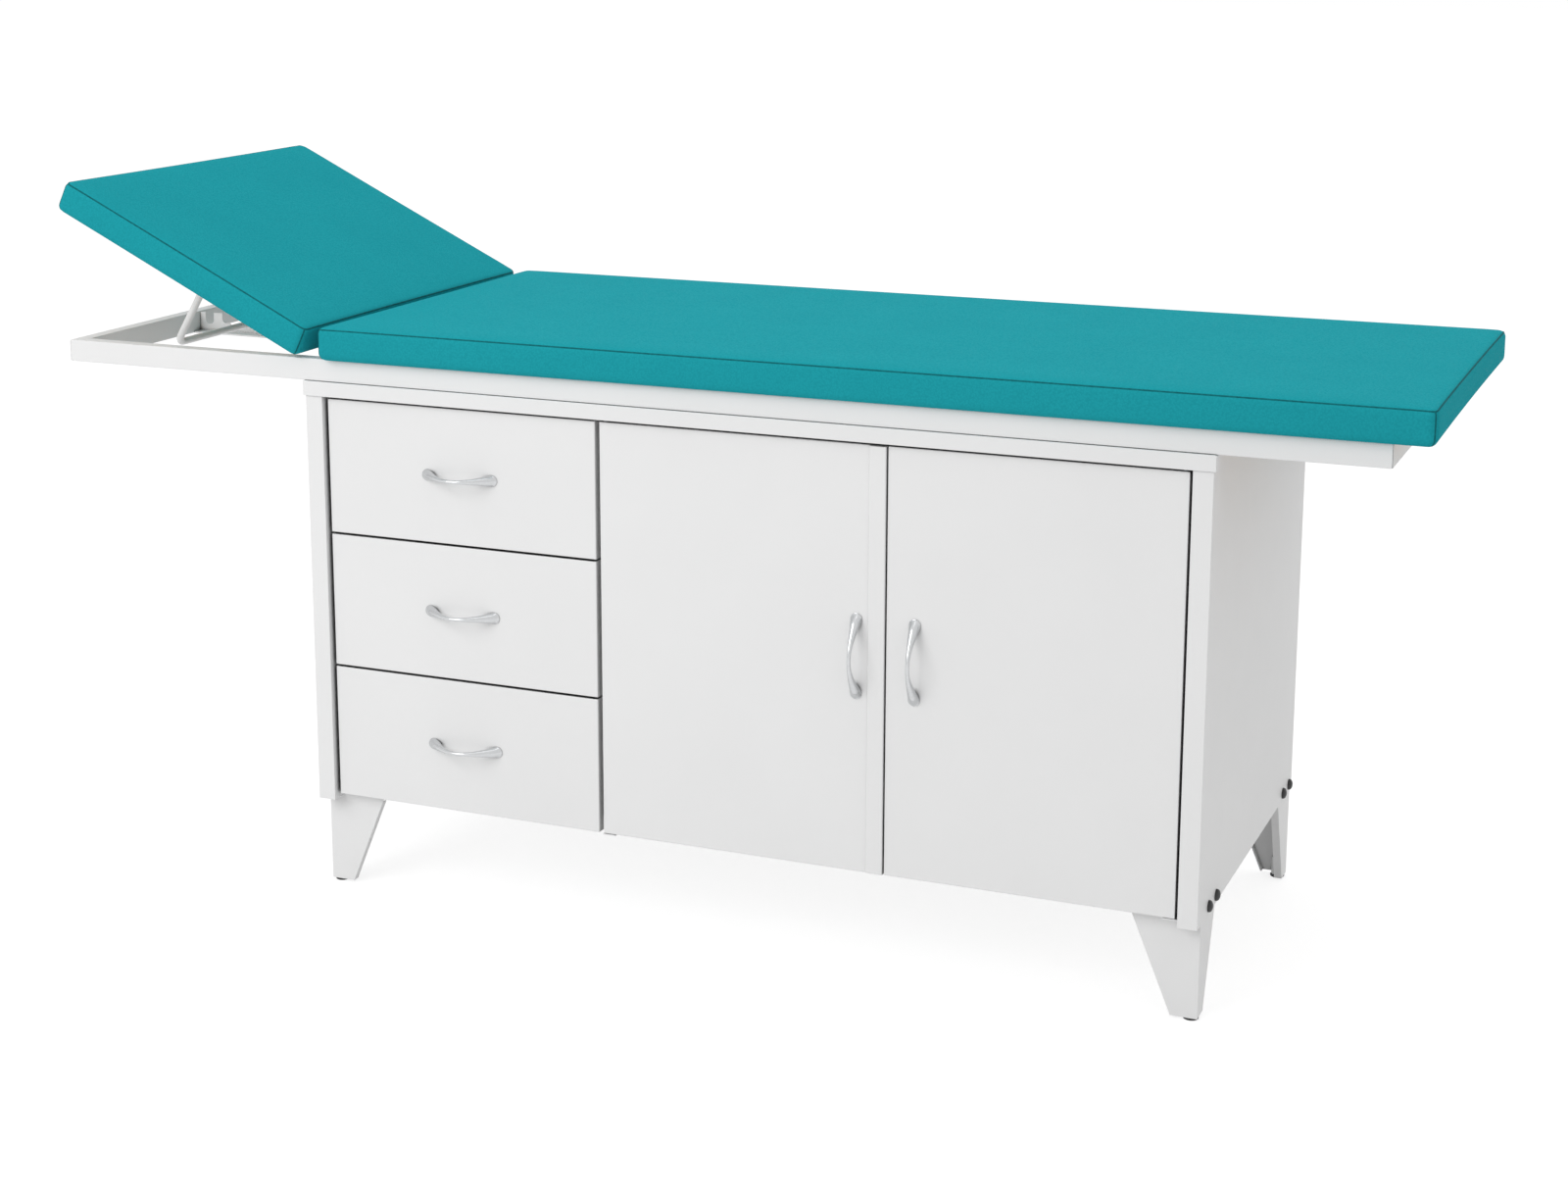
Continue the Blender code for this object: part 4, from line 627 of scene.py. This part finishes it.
@dataclass
class Cushion:
    """Boxed foam cushion: flat below, crowned above, its sides drawn in and its edges sewn with a welt.

    The cushion is drawn in its own frame, between low and high, and place moves it to its seat.
    """

    node: str
    body: str
    low: Vector
    high: Vector
    place: Matrix
    corner: float = 11.0 * MM
    corner_steps: int = 6
    top_edge: float = 8.0 * MM
    top_edge_steps: int = 4
    crown: float = 1.2 * MM
    top_power: int = 6  # how near the top the crown and the droop begin
    draw_in: float = 2.2 * MM
    waist_turn: float = math.pi / 3
    side_power: int = 12  # how near the sides the draw-in begins
    droop: float = 1.5 * MM
    droop_reach: float = 10.0 * MM
    cell: float = 12.0 * MM
    least_cells: int = 5
    cut_near: float = 0.05 * MM
    merge: float = 0.02 * MM
    sewn_rim: float = 1.05  # of the top edge
    sewn_corner: float = 0.6  # of the corner
    sewn_base: float = 0.5  # of the corner
    swell: float = 1.6 * MM
    welt_radius: float = 1.25 * MM
    welt_sink: float = 0.8 * MM
    seam_steps: int = 5
    pressure: float = 4.0
    stretch_stiffness: float = 25.0
    bending_stiffness: float = 2.0
    point_mass: float = 0.4
    quality: int = 4
    frames: int = 20

    def shaped(self, point: Vector) -> Vector:
        """Crown and draw in a point of the plain box.

        Args:
            point: Point in the cushion's frame.

        Returns:
            The moved point.
        """
        middle = (self.low + self.high) / 2
        half = (self.high - self.low) / 2
        u, v, w = [(point[i] - middle[i]) / half[i] for i in range(3)]
        waist = self.draw_in * math.cos(min(abs(w), 1.0) * self.waist_turn)
        x = point.x - math.copysign(waist * (1 - v * v) * abs(u) ** self.side_power, u)
        y = point.y - math.copysign(waist * (1 - u * u) * abs(v) ** self.side_power, v)
        rise = max(0.0, w) ** self.top_power
        lift = self.crown * max(0.0, 1 - u * u) * max(0.0, 1 - v * v)
        away = math.hypot((1 - abs(u)) * half.x, (1 - abs(v)) * half.y) / self.droop_reach
        return Vector((x, y, point.z + rise * (lift - self.droop * math.exp(-away * away))))

    def blank(self) -> bmesh.types.BMesh:
        """Make the cushion's grid of panels before the foam fills it.

        Returns:
            The grid, in the cushion's frame.
        """
        bm = block(self.low, self.high)
        top = self.high.z - NEAR
        sides = [e for e in bm.edges if min(v.co.z for v in e.verts) < top]
        bevel(bm, sides, self.corner, self.corner_steps)
        rim = [e for e in bm.edges if all(v.co.z > top for v in e.verts)]
        bevel(bm, rim, self.top_edge, self.top_edge_steps)
        for axis in range(3):
            count = max(self.least_cells, round((self.high[axis] - self.low[axis]) / self.cell))
            normal = Vector([1.0 if i == axis else 0.0 for i in range(3)])
            for k in range(1, count):
                cut = self.low + normal * (self.high[axis] - self.low[axis]) * k / count
                geom = list(bm.verts) + list(bm.edges) + list(bm.faces)
                bmesh.ops.bisect_plane(bm, geom=geom, dist=self.cut_near, plane_co=cut, plane_no=normal)
        bmesh.ops.remove_doubles(bm, verts=bm.verts, dist=self.merge)
        for vert in bm.verts:
            vert.co = self.shaped(vert.co)
        return bm

    def sewn(self, point: Vector) -> bool:
        """Tell whether a point of the blank is held by the base or by a seam.

        Args:
            point: Point in the cushion's frame.

        Returns:
            True on the underside, along the rim and down the corners.
        """
        rim = self.top_edge * self.sewn_rim
        from_end = min(point.x - self.low.x, self.high.x - point.x)
        from_side = min(point.y - self.low.y, self.high.y - point.y)
        at_rim = point.z > self.high.z - rim and min(from_end, from_side) < rim + self.draw_in
        at_corner = max(from_end, from_side) < self.corner * self.sewn_corner
        at_base = point.z < self.low.z + self.corner * self.sewn_base
        return at_base or at_rim or at_corner

    def fill(self, cover: bpy.types.Object) -> None:
        """Let the foam press the cover out, and keep that press within the swell.

        Args:
            cover: Cover in the cushion's frame, with its panels still flat.
        """
        mesh = cover.data
        start = [vert.co.copy() for vert in mesh.vertices]
        held = cover.vertex_groups.new(name="sewn")
        held.add([i for i, point in enumerate(start) if self.sewn(point)], 1.0, "REPLACE")
        cloth = cover.modifiers.new("Foam", "CLOTH")
        cloth.settings.quality = self.quality
        cloth.settings.mass = self.point_mass
        cloth.settings.tension_stiffness = self.stretch_stiffness
        cloth.settings.compression_stiffness = self.stretch_stiffness
        cloth.settings.bending_stiffness = self.bending_stiffness
        cloth.settings.use_pressure = True
        cloth.settings.uniform_pressure_force = self.pressure
        cloth.settings.vertex_group_mass = held.name
        cloth.settings.effector_weights.gravity = 0.0
        cloth.collision_settings.use_collision = False
        cloth.point_cache.frame_start = 1
        cloth.point_cache.frame_end = self.frames
        scene = bpy.context.scene
        for frame in range(1, self.frames + 1):
            scene.frame_set(frame)
        settled = cover.evaluated_get(bpy.context.evaluated_depsgraph_get())
        moved = [vert.co.copy() for vert in settled.data.vertices]
        cover.modifiers.remove(cloth)
        cover.vertex_groups.remove(held)
        for vert, old, new in zip(mesh.vertices, start, moved):
            press = new - old
            if press.length > 0.0:
                vert.co = old + press.normalized() * self.swell * math.tanh(press.length / self.swell)
        scene.frame_set(1)

    def build(self) -> None:
        """Make the cover and the welt of the cushion."""
        cover = put(f"{self.node}_cover", self.blank(), LEATHERETTE, self.body, Slot.LEATHERETTE, self.node)
        self.fill(cover)
        cover.data.transform(self.place)
        smooth = cover.modifiers.new("Smooth panels", "SUBSURF")
        smooth.levels = 1
        smooth.render_levels = 1
        self.build_welt()

    def rim_path(self) -> list[Vector]:
        """Follow the top edge once round.

        Returns:
            Points in the cushion's frame.
        """
        half_way = math.sin(math.radians(45.0))
        inset = self.top_edge - (self.top_edge - self.welt_sink) * half_way
        radius = self.corner - inset
        level = self.high.z - inset
        centres = [(self.high.x - self.corner, self.low.y + self.corner, -90),
                   (self.high.x - self.corner, self.high.y - self.corner, 0),
                   (self.low.x + self.corner, self.high.y - self.corner, 90),
                   (self.low.x + self.corner, self.low.y + self.corner, 180)]
        corners = []
        for x, y, first in centres:
            for k in range(self.corner_steps + 1):
                turn = math.radians(first + 90 * k / self.corner_steps)
                corners.append(Vector((x + radius * math.cos(turn), y + radius * math.sin(turn), level)))
        path = []
        for here, there in zip(corners, corners[1:] + corners[:1]):
            steps = max(1, round((there - here).length / (2 * self.cell)))
            path += [self.shaped(here.lerp(there, k / steps)) for k in range(steps)]
        return path

    def corner_path(self, x_side: int, y_side: int) -> list[Vector]:
        """Follow one upright corner seam from the rim to the underside.

        Args:
            x_side: -1 or 1 along X.
            y_side: -1 or 1 along Y.

        Returns:
            Points in the cushion's frame.
        """
        x = (self.high.x if x_side > 0 else self.low.x) - x_side * self.corner
        y = (self.high.y if y_side > 0 else self.low.y) - y_side * self.corner
        out = Vector((x_side, y_side, 0.0)).normalized()
        upper, lower = self.high.z - self.top_edge, self.low.z + self.corner
        arc, reach = self.top_edge - self.welt_sink, self.corner - self.welt_sink
        shoulder = [math.radians(45 - 15 * k) for k in range(4)]
        outline = [(reach - arc + arc * math.cos(t), upper + arc * math.sin(t)) for t in shoulder]
        fall = (lower - upper) / self.seam_steps
        outline += [(reach, upper + fall * k) for k in range(1, self.seam_steps + 1)]
        tuck = [math.radians(18 * k) for k in range(1, 4)]
        outline += [(reach * math.cos(t), lower - reach * math.sin(t)) for t in tuck]
        return [self.shaped(Vector((x, y, z)) + out * r) for r, z in outline]

    def build_welt(self) -> None:
        """Draw the welt along the top edge and down the four corners."""
        curve = bpy.data.curves.new(f"{self.node}_welt_line", "CURVE")
        curve.dimensions = "3D"
        curve.bevel_depth = self.welt_radius
        curve.bevel_resolution = 3
        curve.use_fill_caps = True
        paths = [(self.rim_path(), True)]
        paths += [(self.corner_path(x, y), False) for x in (-1, 1) for y in (-1, 1)]
        for path, closed in paths:
            spline = curve.splines.new("POLY")
            spline.points.add(len(path) - 1)
            for point, place in zip(spline.points, path):
                point.co = (*(self.place @ place), 1.0)
            spline.use_cyclic_u = closed
        line = bpy.data.objects.new(curve.name, curve)
        bpy.context.scene.collection.objects.link(line)
        drawn = line.evaluated_get(bpy.context.evaluated_depsgraph_get())
        bm = bmesh.new()
        bm.from_mesh(drawn.to_mesh())
        bpy.data.objects.remove(line)
        bmesh.ops.remove_doubles(bm, verts=bm.verts, dist=NEAR)
        put(f"{self.node}_welt", bm, WELT, self.body, Slot.LEATHERETTE)


@dataclass
class BowHandle:
    """Bow handle of satin chrome: round feet on the front that draw into a slim bow, and studs behind."""

    node: str
    front: str
    body: str
    run: Run
    grip: float
    centres: float = 96.0 * MM
    bow: float = 26.8 * MM
    foot_radius: float = 7.8 * MM
    bow_radius: float = 2.4 * MM
    stud_radius: float = 2.0 * MM
    head_radius: float = 4.0 * MM
    head_height: float = 2.5 * MM
    arch: float = 2.5
    taper: float = 2.1
    lean: float = 0.9
    edge: float = 0.4 * MM
    steps: int = 72
    sides: int = 32

    def section(self, turn: float) -> tuple[float, float, float, float]:
        """Work out one section of the bow.

        Args:
            turn: Way along the bow, from 0 to pi.

        Returns:
            Place along the handle, height above the foot, lean towards the middle and radius.
        """
        half = self.centres / 2
        height = self.bow * max(0.0, math.sin(turn)) ** self.arch
        climb = self.bow * self.arch * max(0.0, math.sin(turn)) ** (self.arch - 1) * abs(math.cos(turn))
        radius = self.bow_radius + (self.foot_radius - self.bow_radius) * abs(math.cos(turn)) ** self.taper
        square = math.atan2(half * math.sin(turn), climb)
        lean = min(square, math.asin(min(1.0, self.lean * height / radius)))
        return -half * math.cos(turn), height, lean, radius

    def build(self) -> None:
        """Loft the handle from one stud to the other."""
        low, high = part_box(self.node)
        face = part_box(self.front)[0].y
        middle = (low + high) / 2
        centre = Vector((middle.x, face, middle.z))
        along = Vector(self.run.value)
        forward = Vector((0.0, -1.0, 0.0))
        across = along.cross(forward)
        half = self.centres / 2
        rim = 2 * self.edge
        inside = -self.grip - SEAT
        head = inside - self.head_height
        stud = [(head, self.head_radius - self.edge), (head + self.edge, self.head_radius),
                (inside, self.head_radius), (inside, self.stud_radius), (SEAT, self.stud_radius),
                (SEAT, self.foot_radius - self.edge), (SEAT + self.edge, self.foot_radius)]
        stations = [station(centre - along * half + forward * out, across, forward.cross(across), radius)
                    for out, radius in stud]
        for k in range(1, self.steps):
            place, height, lean, radius = self.section(math.pi * k / self.steps)
            outward = forward if 2 * k < self.steps else -forward
            heading = outward * math.cos(lean) + along * math.sin(lean)
            out = SEAT + rim + height * (1 - rim / self.bow)
            spot = centre + along * place + forward * out
            stations.append(station(spot, across, heading.cross(across), radius))
        stations += [station(centre + along * half + forward * out, across, -forward.cross(across), radius)
                     for out, radius in reversed(stud)]
        finish = CHROME_LEVEL if self.run is Run.LEVEL else CHROME_UPRIGHT
        put(f"{self.node}_bow", lofted(stations, self.sides), finish, self.body, Slot.CHROME, self.node)


@dataclass
class PropBail:
    """Bent white rod that props the head section: two stubs, two arms and a bar, with smooth bends."""

    pivot: Vector
    length: float = 97.16 * MM
    half_width: float = 220.0 * MM
    stub: float = 24.0 * MM
    bend: float = 14.0 * MM
    radius: float = 5.0 * MM
    tip: float = 1.0 * MM
    tip_share: float = 0.75
    bend_steps: int = 12
    sides: int = 28

    def path(self) -> list[Vector]:
        """Follow the rod's centre line in the bail's frame.

        Returns:
            Points on the centre line.
        """
        far = self.bend - self.length
        turns = [((-self.bend, self.half_width - self.bend), 0), ((far, self.half_width - self.bend), 90),
                 ((far, self.bend - self.half_width), 180), ((-self.bend, self.bend - self.half_width), 270)]
        points = [Vector((0.0, self.half_width - self.stub, 0.0))]
        for (x, y), first in turns:
            for k in range(self.bend_steps + 1):
                turn = math.radians(first + 90 * k / self.bend_steps)
                points.append(Vector((x + self.bend * math.cos(turn), y + self.bend * math.sin(turn), 0.0)))
        points.append(Vector((0.0, self.stub - self.half_width, 0.0)))
        return points

    def build(self) -> None:
        """Loft the rod along its centre line."""
        points = self.path()
        upward = Vector((0.0, 0.0, 1.0))
        stations = []
        for k, point in enumerate(points):
            ahead = (points[min(k + 1, len(points) - 1)] - points[max(k - 1, 0)]).normalized()
            stations.append(station(point, upward.cross(ahead), upward, self.radius))
        inward = (points[1] - points[0]).normalized() * self.tip
        first = station(points[0] + inward, upward.cross(inward.normalized()), upward, self.radius)
        blunt = Matrix.Scale(self.tip_share, 4)
        stations = [stations[0] @ blunt, first] + stations[1:]
        last = Matrix.Translation(Vector((0.0, self.tip, 0.0))) @ stations[-1]
        stations = stations[:-1] + [last, stations[-1] @ blunt]
        bm = lofted(stations, self.sides)
        place = Matrix.Translation(self.pivot) @ Matrix.Rotation(BAIL_TURN, 4, "Y")
        bmesh.ops.transform(bm, matrix=place, verts=bm.verts)
        put("prop_bail_rod", bm, PAINT, "prop", Slot.PAINT, "prop_bail")


@dataclass
class LevellingFoot:
    """Black levelling foot: a round pad with a soft edge on a threaded stem."""

    corner: str
    pad_radius: float = 9.8 * MM
    pad_height: float = 3.2 * MM
    edge: float = 0.9 * MM
    edge_steps: int = 4
    stem_radius: float = 4.0 * MM
    thread: float = 1.25 * MM
    thread_depth: float = 0.5 * MM

    def build(self) -> None:
        """Spin the pad and its stem."""
        node = f"levelling_foot_{self.corner}"
        low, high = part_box(node)
        profile = [(0.0, 0.0), (self.pad_radius - self.edge, 0.0)]
        profile += self.rounding(self.edge, -90)
        profile += self.rounding(self.pad_height - self.edge, 0)
        profile += [(self.stem_radius, self.pad_height)]
        root = self.stem_radius - self.thread_depth
        height = self.pad_height + self.thread
        while height + self.thread < high.z - low.z:
            profile += [(self.stem_radius, height), (root, height + self.thread / 2)]
            height += self.thread
        profile += [(root, high.z - low.z), (0.0, high.z - low.z)]
        place = Matrix.Translation(Vector(((low.x + high.x) / 2, (low.y + high.y) / 2, low.z)))
        put(f"{node}_pad", turned(profile, place), PLASTIC, "cabinet", Slot.PLASTIC, node)

    def rounding(self, height: float, first: int) -> list[tuple[float, float]]:
        """Round one edge of the pad.

        Args:
            height: Height of the rounding's centre.
            first: Angle at which it starts, in degrees.

        Returns:
            Radii and heights.
        """
        centre = self.pad_radius - self.edge
        turns = [math.radians(first + 90 * k / self.edge_steps) for k in range(self.edge_steps + 1)]
        return [(centre + self.edge * math.cos(t), height + self.edge * math.sin(t)) for t in turns]


@dataclass
class LegBolts:
    """Two black domed bolts through the side panel and the leg, screwed into the nut strip behind them."""

    corner: str
    panel: str
    side: int
    margin: float = 8.0 * MM
    strip: float = 3.0 * MM
    strip_edge: float = 0.5 * MM
    strip_edge_steps: int = 2
    shank_radius: float = 3.0 * MM
    dome_radius: float = 7.5 * MM
    dome_height: float = 5.4 * MM
    dome_steps: int = 9
    rim: float = 1.0 * MM
    sides: int = 36

    def build(self) -> None:
        """Spin the two bolts and round the strip."""
        node = f"leg_bolts_{self.corner}"
        low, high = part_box(node)
        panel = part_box(self.panel)
        face = panel[1].x if self.side > 0 else panel[0].x
        back = low.x if self.side > 0 else high.x
        near = back + self.side * self.strip
        bm = block(Vector((min(back, near), low.y, low.z)), Vector((max(back, near), high.y, high.z)))
        bevel(bm, list(bm.edges), self.strip_edge, self.strip_edge_steps)
        reach = abs(face - back) + SEAT
        dome = [(self.dome_radius, self.rim * share) for share in (0.0, 0.5, 1.0)]
        rise = self.dome_height - self.rim
        turns = [math.radians(90 * k / self.dome_steps) for k in range(1, self.dome_steps + 1)]
        dome += [(self.dome_radius * math.cos(t), self.rim + rise * math.sin(t)) for t in turns]
        profile = [(0.0, self.strip / 2), (self.shank_radius, self.strip / 2), (self.shank_radius, reach)]
        profile += [(radius, reach + height) for radius, height in dome]
        turn = Matrix.Rotation(math.radians(90.0 * self.side), 4, "Y")
        middle = (low.z + high.z) / 2
        whole = bpy.data.meshes.new(node)
        for y in (low.y + self.margin, high.y - self.margin):
            bolt = turned(profile, Matrix.Translation(Vector((back, y, middle))) @ turn, self.sides)
            bolt.to_mesh(whole)
            bolt.free()
            bm.from_mesh(whole)
        bpy.data.meshes.remove(whole)
        put(f"{node}_domes", bm, PLASTIC, "cabinet", Slot.PLASTIC, node)


@dataclass
class Fittings:
    """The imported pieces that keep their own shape: folded sheet, tubes, boards and small fittings."""

    nodes: dict[str, bpy.types.Object]
    slots: dict[str, str]
    sheet_edge: float = 0.5 * MM
    tube_edge: float = 1.2 * MM
    edge_steps: int = 2
    edge_angle: float = math.radians(38.0)
    flat_angle: float = math.radians(0.5)

    def finish(self, node: str) -> Finish:
        """Choose a node's finish from its material slot.

        Args:
            node: Name of the node.

        Returns:
            The finish.
        """
        if node == "head_board":
            return HEAD_BOARD
        return {
            Slot.PAINT: PAINT,
            Slot.LEATHERETTE: LEATHERETTE,
            Slot.CHROME: CHROME_LEVEL,
            Slot.ZINC: ZINC,
            Slot.PLASTIC: PLASTIC,
            Slot.PLYWOOD: BOARD,
        }[Slot(self.slots[node])]

    def soften(self, piece: bpy.types.Object, width: float) -> None:
        """Round a piece's sharp edges without touching its mesh.

        Args:
            piece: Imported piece.
            width: Width of the rounding.
        """
        weld = piece.modifiers.new("Weld", "WELD")
        weld.merge_threshold = NEAR
        flat = piece.modifiers.new("Flat faces", "DECIMATE")
        flat.decimate_type = "DISSOLVE"
        flat.angle_limit = self.flat_angle
        edges = piece.modifiers.new("Edges", "BEVEL")
        edges.width = width
        edges.segments = self.edge_steps
        edges.limit_method = "ANGLE"
        edges.angle_limit = self.edge_angle
        edges.use_clamp_overlap = True
        normals = piece.modifiers.new("Normals", "WEIGHTED_NORMAL")
        normals.keep_sharp = True

    def build(self) -> None:
        """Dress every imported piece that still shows."""
        for name, piece in self.nodes.items():
            if piece.hide_render:
                continue
            piece.data.materials.clear()
            piece.data.materials.append(self.finish(name).material())
            self.soften(piece, self.tube_edge if name.startswith("frame_") else self.sheet_edge)
            LOG.info("%s keeps its shape", name)


@dataclass(frozen=True)
class Lamp:
    """Square soft lamp, with its place, the side of its panel and its power in watts."""

    name: str
    place: tuple[float, float, float]
    size: float
    power: float


LAMPS = (
    Lamp("key_lamp", (-1.6, -3.4, 2.6), 2.4, 60.0),
    Lamp("top_lamp", (0.3, 0.2, 4.2), 3.0, 24.0),
)


@dataclass
class Studio:
    """Plain white room with soft light, and the camera at the photograph's viewing angle."""

    camera_place: Vector
    camera_yaw: float
    camera_pitch: float
    lens: float
    shift_x: float
    shift_y: float
    sensor_mm: float = 36.0
    lamp_aim: tuple[float, float, float] = (0.0, 0.0, 0.55)
    world_light: float = 0.70
    floor_reach: float = 30.0
    floor_bounce: str = "E6E6E6"
    floor_shade: str = "A0A0A0"
    floor_glow: float = 0.80

    def seen_directly(self, tree: bpy.types.NodeTree) -> bpy.types.NodeSocket:
        """Tell the rays that see the background from those that light the object.

        Args:
            tree: Node tree of the floor or the world.

        Returns:
            A socket that is 1 for camera, glossy and transmission rays.
        """
        path = add_node(tree, "ShaderNodeLightPath")
        either = add_node(tree, "ShaderNodeMath", {"operation": "MAXIMUM"},
                          links={0: path.outputs["Is Camera Ray"], 1: path.outputs["Is Glossy Ray"]})
        seen = add_node(tree, "ShaderNodeMath", {"operation": "MAXIMUM"},
                        links={0: either.outputs[0], 1: path.outputs["Is Transmission Ray"]})
        return seen.outputs[0]

    def build_world(self) -> None:
        """Make a world that looks white and lights the object evenly."""
        world = bpy.data.worlds.new("white_room")
        world.use_nodes = True
        tree = world.node_tree
        tree.nodes.clear()
        light = add_node(tree, "ShaderNodeBackground", values={"Strength": self.world_light})
        white = add_node(tree, "ShaderNodeBackground", values={"Strength": 1.0})
        for node in (light, white):
            node.inputs["Color"].default_value = (1.0, 1.0, 1.0, 1.0)
        mix = add_node(tree, "ShaderNodeMixShader",
                       links={0: self.seen_directly(tree), 1: light.outputs[0], 2: white.outputs[0]})
        add_node(tree, "ShaderNodeOutputWorld", links={"Surface": mix.outputs[0]})
        bpy.context.scene.world = world

    def build_floor(self) -> None:
        """Lay a white floor that keeps a faint shadow."""
        bm = bmesh.new()
        bmesh.ops.create_grid(bm, x_segments=2, y_segments=2, size=self.floor_reach)
        mesh = bpy.data.meshes.new("studio_floor")
        bm.to_mesh(mesh)
        bm.free()
        material = bpy.data.materials.new("white_studio_floor")
        material.use_nodes = True
        tree = material.node_tree
        tree.nodes.clear()
        bounce = add_node(tree, "ShaderNodeBsdfDiffuse", values={"Color": linear(self.floor_bounce)})
        shade = add_node(tree, "ShaderNodeBsdfDiffuse", values={"Color": linear(self.floor_shade)})
        glow = add_node(tree, "ShaderNodeEmission", values={"Strength": self.floor_glow})
        shown = add_node(tree, "ShaderNodeAddShader", links={0: shade.outputs[0], 1: glow.outputs[0]})
        mix = add_node(tree, "ShaderNodeMixShader",
                       links={0: self.seen_directly(tree), 1: bounce.outputs[0], 2: shown.outputs[0]})
        add_node(tree, "ShaderNodeOutputMaterial", links={"Surface": mix.outputs[0]})
        mesh.materials.append(material)
        floor = bpy.data.objects.new("studio_floor", mesh)
        bpy.context.scene.collection.objects.link(floor)

    def build_lamp(self, lamp: Lamp) -> None:
        """Hang one soft lamp and turn it to the table.

        Args:
            lamp: Lamp to hang.
        """
        light = bpy.data.lights.new(lamp.name, "AREA")
        light.shape = "SQUARE"
        light.size = lamp.size
        light.energy = lamp.power
        held = bpy.data.objects.new(lamp.name, light)
        held.location = lamp.place
        ray = Vector(self.lamp_aim) - Vector(lamp.place)
        held.rotation_euler = ray.to_track_quat("-Z", "Y").to_euler()
        bpy.context.scene.collection.objects.link(held)

    def build_camera(self) -> None:
        """Set the camera at the photograph's viewing angle."""
        data = bpy.data.cameras.new("photograph_view")
        data.sensor_width = self.sensor_mm
        data.lens = self.lens
        data.shift_x = self.shift_x
        data.shift_y = self.shift_y
        camera = bpy.data.objects.new("photograph_view", data)
        camera.location = self.camera_place
        camera.rotation_euler = (math.radians(90.0) - self.camera_pitch, 0.0, self.camera_yaw)
        bpy.context.scene.collection.objects.link(camera)
        bpy.context.scene.camera = camera

    def build(self) -> None:
        """Set up the room, its light and its camera."""
        bpy.context.scene.view_settings.view_transform = "Standard"
        self.build_world()
        self.build_floor()
        for lamp in LAMPS:
            self.build_lamp(lamp)
        self.build_camera()


def clear_scene() -> None:
    """Remove what the start-up file holds."""
    for old in list(bpy.data.objects):
        bpy.data.objects.remove(old, do_unlink=True)


def cushions(joints: dict[str, Vector]) -> list[Cushion]:
    """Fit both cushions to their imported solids.

    Args:
        joints: Places of the joints by name.

    Returns:
        The main and the head cushion.
    """
    low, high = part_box("main_cushion")
    main_low = Vector((low.x, low.y, low.z))
    main_high = Vector((high.x, high.y, high.z - CUSHION_CROWN))
    hinge = joints["head_tilt"]
    rise = low.z - hinge.z
    head_low = Vector((HEAD_CUSHION_FAR, low.y - hinge.y, rise))
    head_high = Vector((HEAD_CUSHION_NEAR, high.y - hinge.y, rise + main_high.z - main_low.z))
    tilted = Matrix.Translation(hinge) @ Matrix.Rotation(HEAD_TILT, 4, "Y")
    return [
        Cushion("main_cushion", "cabinet", main_low, main_high, Matrix.Identity(4)),
        Cushion("head_cushion", "head_section", head_low, head_high, tilted),
    ]


def handles() -> list[BowHandle]:
    """List the five handles.

    Returns:
        Three level handles on the drawers and two upright ones on the doors.
    """
    made = [BowHandle(f"{name}_handle", f"{name}_front", name, Run.LEVEL, SHEET + SEAT + DRAWER_WALL)
            for name in ("drawer_bottom", "drawer_middle", "drawer_top")]
    made += [BowHandle(f"door_{side}_handle", f"door_{side}", f"{side}_door", Run.UPRIGHT, SHEET)
             for side in ("left", "right")]
    return made


def main() -> None:
    """Build the table's pieces in order and set up the studio."""
    logging.basicConfig(level=logging.INFO, format="%(name)s: %(message)s")
    clear_scene()
    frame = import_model()
    joints = {joint["name"]: Vector(joint["pos_m"]) for joint in frame["joints"] if "pos_m" in joint}
    slots = {part["node"]: part["material_slot"] for part in frame["record"]["subparts"]}
    Studio(
        camera_place=Vector((1.3295, -3.2243, 1.3510)),
        camera_yaw=math.radians(22.826),
        camera_pitch=math.radians(11.754),
        lens=60.08,
        shift_x=0.0235,
        shift_y=-0.10,
    ).build()
    for cushion in cushions(joints):
        cushion.build()
    for handle in handles():
        handle.build()
    PropBail(joints["prop_swing"]).build()
    for end in ("front", "rear"):
        for side_name, side in (("left", -1), ("right", 1)):
            LevellingFoot(f"{end}_{side_name}").build()
            LegBolts(f"{end}_{side_name}", f"side_panel_{side_name}", side).build()
    Fittings(frame["nodes"], slots).build()


if __name__ == "__main__":
    main()
